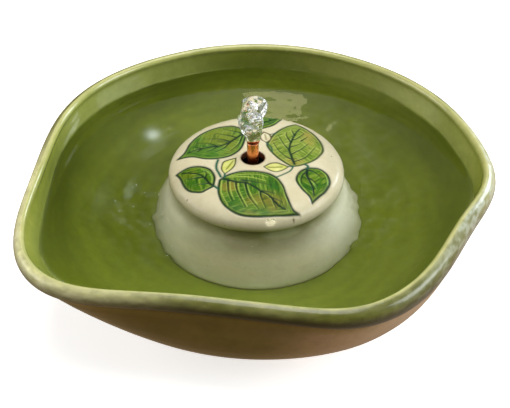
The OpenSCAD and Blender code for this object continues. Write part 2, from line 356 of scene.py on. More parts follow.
def plastic(name, rgb, rough=0.45, grain=2600, grain_strength=0.25, vary=10, coat=0.0, trans=0.0):
    """Moulded plastic with a fine spark-eroded grain, faint flow marks and scuffs."""
    m, nt, b, _ = new_mat(name)
    co = coords(nt)
    big = noise_tex(nt, co, 55, 4, 0.6, 0.4)
    lo = lin(*[max(0, c - vary) for c in rgb])
    hi = lin(*[min(255, c + vary) for c in rgb])
    c = ramp(nt, big, [(0.3, lo), (0.72, hi)])
    sc = noise_tex(nt, co, 480, 5, 0.7)
    c = mix(nt, c, ramp(nt, sc, [(0.66, (1, 1, 1, 1)), (0.8, lin(150, 150, 148))]), 0.5, "MULTIPLY")
    nt.links.new(c, b.inputs["Base Color"])
    nt.links.new(mapr(nt, big, rough - 0.06, rough + 0.1, 0.3, 0.7), b.inputs["Roughness"])
    b.inputs["Coat Weight"].default_value = coat
    if trans:
        b.inputs["Transmission Weight"].default_value = trans
        b.inputs["IOR"].default_value = 1.45
    bump(nt, b, noise_tex(nt, co, grain, 2, 0.5), grain_strength, 0.00012)
    return m


def steel_mat():
    m, nt, b, _ = new_mat("stator_steel")
    co = coords(nt)
    w = nd(nt, "ShaderNodeTexWave", wave_type="BANDS", bands_direction="Z")
    w.inputs["Scale"].default_value = 310
    w.inputs["Distortion"].default_value = 0.15
    nt.links.new(co, w.inputs["Vector"])
    c = ramp(nt, w.outputs["Fac"], [(0.0, lin(60, 62, 66)), (0.35, lin(128, 131, 136)), (1.0, lin(160, 162, 166))])
    rust = noise_tex(nt, co, 190, 5, 0.65)
    c = mix(nt, c, lin(120, 88, 60), ramp(nt, rust, [(0.6, (0, 0, 0, 1)), (0.8, (0.45, 0.45, 0.45, 1))]))
    nt.links.new(c, b.inputs["Base Color"])
    b.inputs["Metallic"].default_value = 0.9
    b.inputs["Roughness"].default_value = 0.42
    bump(nt, b, w.outputs["Fac"], 0.5, 0.0002)
    return m


def foam_mat():
    m, nt, b, _ = new_mat("filter_foam")
    co = coords(nt)
    v = nd(nt, "ShaderNodeTexVoronoi", feature="F1")
    v.inputs["Scale"].default_value = 700
    nt.links.new(co, v.inputs["Vector"])
    c = ramp(nt, v.outputs["Distance"], [(0.15, lin(12, 12, 13)), (0.55, lin(58, 58, 62))])
    nt.links.new(c, b.inputs["Base Color"])
    b.inputs["Roughness"].default_value = 0.95
    b.inputs["Sheen Weight"].default_value = 0.2
    bump(nt, b, v.outputs["Distance"], 0.9, 0.0012)
    return m


MAT = {
    "bowl_glaze": glaze_bowl("bowl_glaze", 0.5, 0.25),
    "bowl_wall": glaze_bowl("bowl_glaze_outer", 0.3, 0.0),
    "bowl_pool": glaze_bowl("bowl_glaze_pool", 0.09, 0.0),
    "cover_glaze": glaze_cover(),
    "copper": copper_mat(),
    "clear_vinyl": plastic("clear_vinyl", (222, 228, 226), 0.12, 900, 0.08, 6, 0.2, 0.75),
    "pump_plastic": plastic("pump_plastic", (34, 35, 37), 0.42, 2400, 0.35, 8),
    "grille_plastic": plastic("grille_plastic", (40, 42, 44), 0.38, 2400, 0.3, 8),
    "dial_plastic": plastic("dial_plastic", (128, 134, 138), 0.35, 2600, 0.2, 8),
    "black_rubber": plastic("black_rubber", (24, 24, 24), 0.62, 1500, 0.4, 6),
    "cup_rubber": plastic("cup_rubber", (96, 100, 102), 0.3, 1400, 0.15, 8, 0.1, 0.25),
    "stator_steel": steel_mat(),
    "bobbin_plastic": plastic("bobbin_plastic", (226, 220, 200), 0.35, 1800, 0.2, 8),
    "coil_copper": winding_mat(),
    "potting_resin": plastic("potting_resin", (22, 22, 24), 0.2, 600, 0.1, 6, 0.4),
    "ferrite": plastic("ferrite", (58, 58, 62), 0.5, 3200, 0.5, 12),
    "impeller_plastic": plastic("impeller_plastic", (226, 226, 222), 0.3, 2200, 0.15, 6),
    "shaft_ceramic": plastic("shaft_ceramic", (240, 240, 236), 0.14, 3000, 0.05, 4, 0.3),
    "filter_foam": foam_mat(),
}

# ------------------------------------------------------------------ bowl
LOBES = [(217, 23, 38, 9), (298, 25, 18, 6), (354, 16, 12, 5), (148, 25, 7, 1), (15, 31, 9, 0)]


def bumps(a, k):
    s = 0.0
    for L in LOBES:
        d = (a - L[0] + 180) % 360 - 180
        w = np.where(d < 0, 20.5, 27.5) if L[0] == 298 else L[1]
        s = s + L[k] * np.exp(-(d / w) ** 2)
    return s


def lobe_out(a):
    return bumps(a, 2)


def crest_z(a):
    return RIM_H - bumps(a, 3)


def fade(d):
    return np.exp(-(np.maximum(d, 0) / 35) ** 1.3)


def full_r(a, d):
    return RIM_R + lobe_out(a) * fade(d) + BELLY * (1 - fade(d))


def open_out(s):
    return (1 - (1 - s) ** 1.8) ** (1 / 1.7)


def lip_k(a):
    """How much heavier the rolled lip is at the front right."""
    return 1 + 0.36 * np.exp(-np.abs((a - 322) / 34) ** 2.6)


def outer_pt(a, s):
    zt = crest_z(a) - LIP_H * lip_k(a)
    z = 3 + (zt - 3) * s
    return FOOT_R + 2 + (full_r(a, zt - z) - 1 - FOOT_R - 2) * open_out(s), z


def inner_pt(a, s):
    zt = crest_z(a) - 7
    z = FLOOR_Z + (zt - FLOOR_Z) * s
    return FLOOR_R + (full_r(a, zt + 7 - z) - BOWL_WALL - FLOOR_R) * open_out(s) + 5.5 * s ** 6, z


LIP = [(2.2, -15.2), (5.4, -12.6), (6.9, -9), (6.6, -5.2), (4.6, -2), (2, -0.4), (0, 0), (-2, -1.2), (-3.1, -3.6)]
OUT_S = [0, 0.006, 0.03, 0.07, 0.13, 0.21, 0.31, 0.43, 0.56, 0.7, 0.84, 0.95, 1]
IN_S = [0.99, 0.9, 0.78, 0.64, 0.5, 0.37, 0.26, 0.17, 0.1, 0.05, 0.018, 0.003]


def build_bowl():
    cols = 480
    m = 6
    a = np.arange(cols) * 360.0 / cols
    P = []
    for s in OUT_S:
        P.append(np.stack(outer_pt(a, s), -1) + 0 * a[:, None])
    for dr, dz in LIP:
        kk = lip_k(a)
        P.append(np.stack([RIM_R + lobe_out(a) + (dr * (1 + 0.9 * (kk - 1)) if dr > 0 else dr + 0 * kk), crest_z(a) + (dz * kk if dr > 0 else dz + 0 * kk)], -1))
    for s in IN_S:
        P.append(np.stack(inner_pt(a, s), -1))
    P.append(np.stack([0 * a + FLOOR_R, 0 * a + FLOOR_Z], -1))
    P = np.stack(P, 0)                       # k, cols, 2
    q = catmull(P.reshape(len(P), -1), m).reshape(-1, cols, 2)
    # foot: flat underside with a small round edge, and the floor's middle
    foot = np.array([(0.0, 0), (30, 0), (60, 0), (85, 0), (92, 0), (93.8, 0.05), (94.6, 0.4), (95.2, 1.1), (96.0, 2.1)])
    q = np.concatenate([np.repeat(foot[:, None], cols, 1), q], 0)
    floor = np.array([(80.0, FLOOR_Z), (65, FLOOR_Z), (48, FLOOR_Z), (30, FLOOR_Z), (14, FLOOR_Z), (0.0, FLOOR_Z)])
    q = np.concatenate([q, np.repeat(floor[:, None], cols, 1)], 0)
    rows = len(q)
    nfoot, nfloor = len(foot), len(floor)
    rr, zz = q[..., 0].copy(), q[..., 1].copy()
    ar = np.radians(a)[None, :]
    k = np.arange(rows)[:, None] + 0 * zz
    k_lip0 = nfoot + (len(OUT_S) - 1) * m
    k_crest = nfoot + (len(OUT_S) + 6) * m
    k_in = nfoot + (len(OUT_S) + len(LIP)) * m
    inside = k > k_crest
    # thrower's rings, a slow spiral, fading out at the lip and the foot
    X, Y = rr * np.cos(ar), rr * np.sin(ar)
    pts = np.stack([X, Y, zz], -1)
    wob = fbm(pts, 60, 2, 3.0) - 0.5
    ring = np.sin((zz * 0.72 + np.abs(rr) * 0.28) * 2 * math.pi / 7.5 + ar + 5 * wob)
    amp_in = smooth(k_in - 2, k_in + 3 * m, k) * (zz > FLOOR_Z + 0.02) * 0.14
    amp_in = amp_in * smooth(FLOOR_Z, FLOOR_Z + 14, zz)
    amp_out = (1 - smooth(k_lip0 - 2 * m, k_lip0, k)) * smooth(6, 20, zz) * 0.07
    amp = np.where(inside, -amp_in, amp_out)
    rr = rr + amp * ring
    # uneven hand-made lip
    lipw = np.exp(-((k - k_crest) / (5.0 * m)) ** 2)
    zz = zz + lipw * (noise3(np.stack([np.cos(ar) * 160 + 0 * zz, np.sin(ar) * 160 + 0 * zz, 0 * zz], -1), 30) - 0.5) * 0.7
    X, Y = rr * np.cos(ar), rr * np.sin(ar)
    V = np.stack([X, Y, zz], -1)
    # ---- glaze colour
    cz = crest_z(a)[None, :]
    d_crest = np.abs(k - k_crest) / m
    n1 = fbm(V, 45, 4)
    n2 = fbm(V, 12, 3, 9.0)
    up = (cz - zz)
    up = np.where(inside, up, np.where(up < 40, up / lip_k(a)[None, :], up))
    inner_deep = lin3(101, 112, 30)
    inner_lip = lin3(134, 142, 46)
    crest = lin3(196, 194, 128)
    undercut_shadow = lin3(50, 40, 3)
    # the lip's outside is thin at the front left and thick in front; painted light makes it pale at the front left and
    # at the right, dark in front
    A = np.degrees(np.arctan2(Y, X)) % 360
    painted_lip_light = np.exp(-(((A - 208 + 180) % 360 - 180) / 36) ** 4) + 0.62 * np.exp(-(((A - 2 + 180) % 360 - 180) / 32) ** 2)
    lip_out = mixc(np.broadcast_to(lin3(104, 106, 40), V.shape), lin3(218, 215, 158), np.clip(painted_lip_light + 0.8 * (n1 - 0.5), 0, 1))
    clay = lin3(196, 168, 132)
    # painted reflection: the outer wall is lighter and pinker from the front round to the right
    wall = mixc(np.broadcast_to(lin3(134, 116, 56), V.shape), lin3(196, 166, 128), np.clip(smooth(266, 292, A) * (1 - 0.5 * smooth(325, 359, A)) + 0.5 * (1 - smooth(1, 60, A)) + 0.25 * (n1 - 0.5), 0, 1))
    # inside
    def lobe(c, w):
        return np.exp(-(((A - c + 180) % 360 - 180) / w) ** 2)
    zn = zz + 5 * (n1 - 0.5)
    ci = mixc(inner_lip, inner_deep, smooth(4, 20, up + 5 * (n1 - 0.5)))
    # painted light: the inside is paler just above the water at the back, the right and the left
    painted_light_band = np.clip(0.72 * lobe(124, 23) + 1.05 * lobe(52, 26) + 0.4 * lobe(156, 18) + 0.45 * lobe(27, 14) + 0.4 * lobe(6, 14) + 0.15 * lobe(190, 30), 0, 1)
    ci = mixc(ci, lin3(174, 180, 100), painted_light_band * smooth(83.5, 86.5, zn + 0.6 * n2))
    # painted light: the back-right inner wall is paler from z 60 up to the water
    ci = mixc(ci, lin3(132, 140, 66), lobe(56, 18) * smooth(60, 84, zz) * (1 - smooth(85, 88, zz)))
    # painted shade on the steep wall under water, strongest at the left, back left, back right and front right; paler
    # on the floor
    dark = (0.59 * lobe(182, 46) + 0.32 * lobe(25, 26) + 0.30 * lobe(330, 34) + 0.34 * lobe(118, 22)) * (1 - smooth(83.5, 86.5, zn)) * smooth(30, 62, zz)
    ci = ci * (1 - np.clip(dark, 0, 0.62))[..., None]
    # a paler tint on the floor; painted light makes it stronger towards the front
    ci = mixc(ci, lin3(108, 121, 34), (1 - smooth(14, 44, zz)) * (0.25 + 0.55 * lobe(265, 70)))
    ci = ci * (1 + 0.045 * np.sin(np.abs(rr) * 2 * math.pi / 15 + ar + 10 * wob) * (1 - smooth(30, 80, zz)) * (0.4 + n1))[..., None]
    # outside: the glaze goes darker olive down the lip, deepened by painted shade on the lip's lower face, with painted
    # shadow in the undercut, then runs out over brown slip
    co_ = mixc(lip_out, mixc(np.broadcast_to(lin3(58, 58, 14), V.shape), lin3(150, 150, 104), np.clip(painted_lip_light, 0, 1)), smooth(2.0, 8.5, up + 3 * (n2 - 0.5)))
    n4 = fbm(V * np.array([1, 1, 2.2]), 5.0, 3, 19.0)
    co_ = co_ * (0.62 + 0.76 * n4)[..., None]
    # painted reflection: a bluish-white window glint on the outer right lip
    painted_window_glint = lobe(344, 26) * (1 - smooth(8, 13, up)) * smooth(0.35, 0.6, n4)
    co_ = mixc(co_, lin3(188, 194, 180), painted_window_glint * 0.65)
    # painted reflection: a grey gloss on the lip's outside at the left
    co_ = mixc(co_, lin3(178, 180, 168), lobe(196, 30) * smooth(1.5, 4, up) * (1 - smooth(9, 13, up)) * smooth(0.3, 0.6, n4) * 0.6)
    # painted shadow: dark brown in the undercut beneath the rolled lip
    co_ = mixc(co_, undercut_shadow, smooth(9.0, 14.0, up + 2 * (n2 - 0.5)))
    co_ = mixc(co_, wall, smooth(14.5, 20, up + 5 * (n1 - 0.5)))
    co_ = mixc(co_, lin3(168, 150, 76), np.exp(-((up - 20.5) / 3.4) ** 2) * 0.55 * (1 - smooth(285, 305, A)))
    co_ = mixc(co_, wall * np.array([0.86, 0.94, 0.80]), smooth(0.42, 0.70, n1) * smooth(22, 44, up) * 0.7)
    c = np.where(inside[..., None], ci, co_)
    # glaze breaks pale over the crest
    # the pale break is widened inside at the back right as painted light
    w_out, w_in = 0.6, 1.35 + 0.7 * np.exp(-(((A - 60 + 180) % 360 - 180) / 50) ** 2)
    br = np.exp(-(d_crest / np.where(inside, w_in, w_out)) ** 2) * (0.80 + 0.6 * (n2 - 0.5))
    c = mixc(c, crest, np.clip(br, 0, 1))
    ft = (~inside) * (1 - smooth(2.5, 5.0, zz + 1.5 * (n2 - 0.5)))
    c = mixc(c, clay, ft)
    # the lip's outside is a little duller and speckled
    matt = np.maximum(ft * 0.95, (~inside) * smooth(-1.5, 0.2, up) * (1 - smooth(13, 17, up)) * (0.14 + 0.25 * n2))
    V = V.transpose(1, 0, 2).reshape(-1, 3)
    c = c.transpose(1, 0, 2).reshape(-1, 3)
    matt = matt.transpose(1, 0).reshape(-1)
    F = grid_faces(rows, cols)
    # drop the collapsed centre columns into one point each
    F = F.tolist()
    cen0, cen1 = 0, rows - 1
    G, kind = [], []
    k_wall = k_lip0 + 1.2 * m
    for f in F:
        g = [cen0 if i % rows == 0 else cen1 if i % rows == rows - 1 else i for i in f]
        h = [g[i] for i in range(4) if g[i] != g[i - 1]]
        if len(h) >= 3:
            G.append(h)
            pool = min(i % rows for i in f) > k_in - m and max(V[i, 2] for i in f) < WATER - 0.4
            kind.append(1 if max(i % rows for i in f) <= k_wall else 2 if pool else 0)
    ob = make_mesh("bowl_thrown", V, G, MAT["bowl_glaze"], {"tint": np.clip(c, 0, 1), "matt": matt})
    me = ob.data
    me.materials.append(MAT["bowl_wall"])
    me.materials.append(MAT["bowl_pool"])
    assert len(me.polygons) == len(kind)
    me.polygons.foreach_set("material_index", kind)
    loose = [v.index for v in me.vertices if v.index % rows in (0, rows - 1) and v.index not in (cen0, cen1)]
    import bmesh
    bm = bmesh.new()
    bm.from_mesh(me)
    bm.verts.ensure_lookup_table()
    bmesh.ops.delete(bm, geom=[bm.verts[i] for i in loose], context="VERTS")
    bm.to_mesh(me)
    bm.free()
    return ob


bowl = build_bowl()
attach(bowl, "bowl_body")
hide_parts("bowl")

# ------------------------------------------------------------------ pump cover
COVER_OUT = [(BASE_R, 0), (BASE_R + 0.4, 3), (BASE_R - 0.7, 12), (CAP_R + 11.5, 25), (CAP_R + 7.5, 40), (CAP_R + 3.2, 54),
             (CAP_R - 2.2, 64), (CAP_R - 4.0, 69), (CAP_R - 3.0, 73), (CAP_R - 0.1, 77), (CAP_R, 80.5), (CAP_R - 1.8, 84.6),
             (CAP_R - 6, 88), (CAP_R - 13, 90.4), (CAP_R - 26, 92.4), (CAP_R - 45, 93.6), (HOLE_R + 7, 94), (0.01, 94)]
COVER_IN = [(BASE_R - COVER_WALL, 0), (BASE_R - COVER_WALL, 3), (BASE_R - COVER_WALL - 1.1, 12), (CAP_R + 11.3 - COVER_WALL, 25),
            (CAP_R + 7.2 - COVER_WALL, 40), (CAP_R + 2.8 - COVER_WALL, 54), (CAP_R - 2.4 - COVER_WALL, 64),
            (CAP_R - 4.2 - COVER_WALL, 70), (CAP_R - 3.6 - COVER_WALL, 76), (CAP_R - 5 - COVER_WALL, 81),
            (CAP_R - 12 - COVER_WALL, 84.6), (CAP_R - 27 - COVER_WALL, 86.8), (CAP_R - 45 - COVER_WALL, 88), (0.01, 88.4)]


# carved leaves in plan view (mm): outline, midrib, side veins, painted light strokes, look
LEAVES = [
    dict(out=[(-28.8, -26.5), (-23.1, -21.5), (-11.5, -17.4), (3.8, -18.2), (14.5, -23.6), (20.7, -33.7), (24.0, -46.7), (28.4, -58.8), (33.6, -62.0),
              (20.9, -65.3), (3.6, -67.2), (-10.2, -66.2), (-19.7, -61.7), (-27.0, -53.5), (-30.4, -42.0), (-30.0, -29.9)],
         mid=[(-27.9, -25.6), (-23.0, -27.9), (-15.8, -30.5), (-9.1, -31.5), (-4.2, -34.5), (0.2, -38.4), (3.7, -42.1), (8.1, -44.9), (11.5, -48.6), (14.3, -52.9), (17.7, -57.0), (22.5, -59.8)],
         veins=[[(-23.1, -28.6), (-22.8, -35.6), (-22.0, -43.3), (-19.0, -52.3)], [(-16.7, -30.5), (-15.9, -38.5), (-13.8, -46.1), (-8.7, -58.8)],
                [(-9.1, -32.0), (-7.7, -41.0), (-5.1, -49.7), (1.9, -60.9)], [(3.0, -42.3), (3.7, -48.8), (7.3, -59.5)], [(12.6, -50.3), (13.7, -54.9), (15.6, -59.4)],
                [(14.5, -53.1), (16.9, -56.0), (19.3, -58.1)], [(-12.3, -28.2), (-5.2, -29.6), (3.7, -32.1), (11.9, -35.1)], [(3.7, -41.3), (8.1, -42.1), (14.0, -44.1)], [(10.7, -48.0), (15.5, -50.5), (20.4, -53.1)]],
         light=[[(-26.4, -24.9), (-21.3, -23.3), (-14.1, -21.9), (-5.2, -21.2), (2.9, -22.1), (9.1, -24.5)], [(15.8, -25.8), (19.3, -31.7), (21.3, -38.9), (22.8, -46.8), (27.8, -59.3)],
                [(-27.6, -28.7), (-28.1, -36.7), (-27.6, -44.0), (-22.4, -56.5)], [(-21.3, -30.3), (-20.8, -38.3), (-19.6, -44.9), (-17.6, -50.6)], [(-14.9, -32.5), (-13.9, -40.5), (-11.7, -47.4), (-7.3, -58.2)],
                [(-7.4, -33.4), (-5.8, -41.5), (-3.0, -49.5), (0.7, -56.0)], [(5.0, -43.9), (8.9, -46.9), (12.4, -51.8), (13.7, -58.0)], [(-23.0, -24.8), (-15.9, -24.3), (-7.9, -24.5), (0.2, -26.5), (7.3, -29.4)]],
         style=0, sharp=(0, 8)),
    dict(out=[(-8.4, 38.0), (-12.4, 42.8), (-17.1, 46.6), (-22.9, 48.9), (-34.3, 47.0), (-45.5, 40.3), (-54.8, 28.1), (-60.3, 11.6), (-65.8, 4.4),
              (-53.7, 4.4), (-42.5, 0.5), (-31.5, 0.0), (-20.6, 3.9), (-12.8, 13.8), (-9.4, 29.6)],
         mid=[(-9.2, 36.8), (-13.0, 33.6), (-17.2, 28.9), (-22.4, 23.3), (-26.5, 19.8), (-33.0, 17.5), (-39.6, 16.5), (-46.1, 14.7), (-51.0, 13.6), (-57.2, 10.7)],
         veins=[[(-12.0, 34.9), (-17.0, 38.6), (-22.7, 40.7), (-28.5, 43.6)], [(-16.9, 29.2), (-22.5, 32.4), (-28.2, 34.4), (-34.7, 37.0)], [(-22.4, 23.4), (-28.0, 26.6), (-33.7, 28.2), (-45.0, 29.1)],
                [(-32.8, 17.7), (-36.9, 20.1), (-41.9, 22.2), (-50.4, 23.9)], [(-45.8, 14.8), (-50.1, 17.3), (-54.7, 18.5)], [(-11.4, 34.2), (-13.2, 26.1), (-15.4, 18.7), (-21.5, 10.3)],
                [(-22.2, 23.2), (-25.0, 17.8), (-28.4, 13.4), (-34.8, 8.7)], [(-32.8, 17.1), (-36.0, 13.5), (-41.5, 10.1)], [(-46.5, 14.3), (-49.0, 11.5), (-52.2, 11.0)]],
         light=[], style=1, sharp=(0, 8)),
    dict(out=[(30.5, -10.2), (22.2, -4.8), (14.4, 4.8), (8.9, 16.5), (10.1, 24.0), (15.7, 36.3), (24.5, 46.6), (33.9, 54.0), (43.5, 45.8), (52.0, 32.3), (55.6, 17.0), (51.6, 5.1), (43.3, -4.2)],
         mid=[(31.0, -7.1), (29.6, -1.5), (28.3, 5.2), (27.0, 11.4), (27.4, 16.4), (28.4, 22.2), (30.1, 28.3), (32.1, 34.5), (34.2, 40.4), (37.3, 45.9)],
         veins=[[(29.3, -0.4), (25.8, 1.1), (21.8, 5.3), (17.8, 11.5), (14.0, 21.4)], [(26.7, 12.8), (24.4, 16.5), (22.1, 21.3), (18.7, 31.4)], [(28.6, 23.3), (26.5, 28.4), (25.1, 33.7), (25.5, 37.9)],
                [(31.9, 33.9), (30.7, 38.3), (29.8, 42.0)], [(30.2, -3.4), (34.0, -2.1), (38.8, 1.2), (43.1, 6.5), (48.9, 18.0)], [(28.4, 6.0), (32.5, 9.6), (37.4, 14.1), (43.2, 22.3)],
                [(27.8, 16.2), (31.6, 18.2), (36.5, 21.5)], [(30.0, 27.2), (34.3, 29.6), (40.2, 37.5)], [(37.4, 26.0), (42.9, 32.9)]],
         light=[], style=2, sharp=(7,)),
    dict(out=[(-65.4, -15.3), (-58.1, -10.7), (-51.8, -9.1), (-44.5, -10.1), (-37.6, -14.4), (-33.7, -23.5), (-34.1, -32.3), (-34.4, -35.2), (-39.5, -38.5), (-44.7, -40.6), (-52.8, -37.8), (-58.1, -31.4), (-61.9, -21.5)],
         mid=[(-34.7, -34.1), (-37.9, -30.9), (-39.8, -27.6), (-42.9, -23.0), (-45.5, -20.2), (-49.2, -18.3), (-55.1, -16.5), (-60.3, -15.6)],
         veins=[[(-43.6, -23.4), (-49.0, -23.4), (-52.1, -24.2), (-56.8, -23.6)], [(-38.4, -31.0), (-41.5, -31.3), (-45.1, -31.4), (-50.1, -31.9)], [(-41.5, -25.0), (-40.5, -20.0), (-42.0, -15.5)]],
         light=[[(-44.9, -13.2), (-40.2, -16.4), (-37.4, -20.5), (-35.9, -25.4), (-36.1, -32.7)]], style=3, sharp=(0, 7)),
    dict(out=[(41.1, -11.3), (34.5, -17.4), (31.8, -27.2), (35.8, -37.1), (41.6, -44.6), (43.8, -51.0), (49.7, -43.4), (55.6, -35.8), (59.3, -25.8), (57.0, -16.6), (50.5, -11.1)],
         mid=[(41.0, -12.8), (40.6, -17.7), (40.8, -21.8), (42.3, -26.2), (44.0, -31.4), (45.1, -36.3), (45.6, -42.7)],
         veins=[[(41.8, -14.3), (46.0, -15.8), (49.2, -18.7), (52.0, -21.9)], [(41.4, -23.9), (44.4, -25.8), (46.9, -28.9), (48.9, -32.4)], [(40.2, -16.6), (37.5, -20.2), (35.9, -25.5), (36.2, -30.7)]],
         light=[[(42.6, -25.0), (46.0, -31.0), (47.6, -35.0)], [(57.4, -29.0), (56.0, -19.0), (52.0, -14.0)], [(33.9, -25.0), (35.0, -32.0), (40.2, -40.2)]], style=3, sharp=(0, 5)),
    dict(out=[(2, 42), (8, 45), (15, 50), (22.5, 64), (9, 68), (-4, 66), (-8, 56), (-5, 47)],
         mid=[(1, 44), (6, 54), (19, 63)], veins=[[(3, 48), (9, 50), (14, 54)], [(6, 54), (3, 60), (3, 65)], [(11, 58), (11, 63)]], light=[[(10, 48), (16, 54), (19, 61)]], style=3, sharp=(0, 3)),
    dict(out=[(-25.6, -20.5), (-28.4, -14.8), (-28.2, -9.0), (-26.0, -4.2), (-17.0, -0.3), (-17.4, -7.7), (-19.8, -13.9)],
         mid=[(-24.5, -14.5), (-21.5, -8.5), (-19.2, -4.0)], veins=[], light=[], style=4, sharp=(0, 4)),
    dict(out=[(5.8, -11.7), (11.1, -7.5), (16.5, -6.4), (21.9, -8.7), (26.3, -11.0), (21.8, -15.2), (16.3, -18.0), (11.0, -16.4)],
         mid=[(9.5, -12.2), (14.0, -12.4), (20.5, -11.6)], veins=[], light=[], style=4, sharp=(0, 4)),
    dict(out=[(8, 22), (12, 27), (11, 34), (6, 38), (3, 32), (4, 26)],
         mid=[(8, 26), (7, 34)], veins=[], light=[], style=5, sharp=(0, 3)),
]
STEMS = [
    ([(-31.6, -2.1), (-32.8, -8.7), (-32.4, -14.5), (-30.7, -18.8), (-28.8, -24.0)], 1.15),
    ([(-25.6, -20.5), (-25.8, -22.5), (-25.6, -24.5)], 0.9),
    ([(-33.8, -34.8), (-32.0, -36.9), (-30.2, -38.3)], 1.1),
    ([(29.6, -10.2), (29.0, -12.9), (26.6, -17.1), (21.0, -21.6), (16, -24.6)], 0.75),
    ([(39.6, -7.4), (41.7, -9.0), (41.4, -11.9)], 1.15),
    ([(26.0, -11.0), (28.0, -10.8), (30.0, -10.0)], 0.7),
    ([(8, 22), (12, 15), (13, 9)], 0.7),
    ([(11, 34), (16, 36), (18, 37.5)], 0.6),
]


def outline_of(L, m=10):
    """Closed outline with pointed ends at the sharp points."""
    p = np.array(L["out"], float)
    n = len(p)
    out = []
    for i in range(n):
        b, c = p[i], p[(i + 1) % n]
        a = b - (c - b) * 0.35 if i in L["sharp"] else p[i - 1]
        d = c + (c - b) * 0.35 if (i + 1) % n in L["sharp"] else p[(i + 2) % n]
        for j in range(m):
            t = j / m
            out.append(0.5 * (2 * b + (c - a) * t + (2 * a - 5 * b + 4 * c - d) * t * t + (3 * b - a - 3 * c + d) * t ** 3))
    return np.array(out)


def seg_dist(P, line, closed=False):
    """Distance from points P (n,2) to a polyline, and the share along it."""
    L = np.vstack([line, line[:1]]) if closed else line
    best = np.full(len(P), 1e9)
    where = np.zeros(len(P))
    n = len(L) - 1
    for i in range(n):
        a, b = L[i], L[i + 1]
        ab = b - a
        t = np.clip(((P - a) @ ab) / max(ab @ ab, 1e-9), 0, 1)
        d = np.hypot(P[:, 0] - a[0] - t * ab[0], P[:, 1] - a[1] - t * ab[1])
        m = d < best
        best[m] = d[m]
        where[m] = (i + t[m]) / n
    return best, where


def inside_poly(P, poly):
    x, y = P[:, 0], P[:, 1]
    c = np.zeros(len(P), bool)
    n = len(poly)
    for i in range(n):
        x1, y1 = poly[i]
        x2, y2 = poly[i - 1]
        m = ((y1 > y) != (y2 > y))
        if m.any():
            xx = (x2 - x1) * (y - y1) / ((y2 - y1) if y2 != y1 else 1e-9) + x1
            c ^= m & (x < xx)
    return c


STYLES = [
    # ground, second, patch, vein, light, overall strength
    dict(a=(62, 124, 16), b=(122, 156, 34), p=(176, 146, 60), vein=(3, 38, 14), light=(190, 208, 96), k=(0.52, 0.60, 0.42)),
    dict(a=(74, 134, 38), b=(132, 166, 58), p=(150, 160, 50), vein=(5, 40, 12), light=(176, 204, 104), k=(0.58, 0.62, 0.48)),
    dict(a=(118, 158, 36), b=(168, 186, 78), p=(200, 186, 90), vein=(4, 46, 16), light=(212, 224, 124), k=(0.62, 0.62, 0.55)),
    dict(a=(44, 116, 4), b=(96, 150, 26), p=(124, 150, 24), vein=(3, 36, 8), light=(166, 204, 96), k=(0.76, 0.62, 0.36)),
    dict(a=(212, 214, 108), b=(230, 228, 152), p=(186, 196, 84), vein=(112, 122, 8), light=(240, 240, 170), k=(0.85, 0.85, 0.8)),
    dict(a=(206, 198, 160), b=(216, 208, 176), p=(198, 190, 146), vein=(140, 128, 84), light=(222, 214, 184), k=(1, 1, 1)),
]


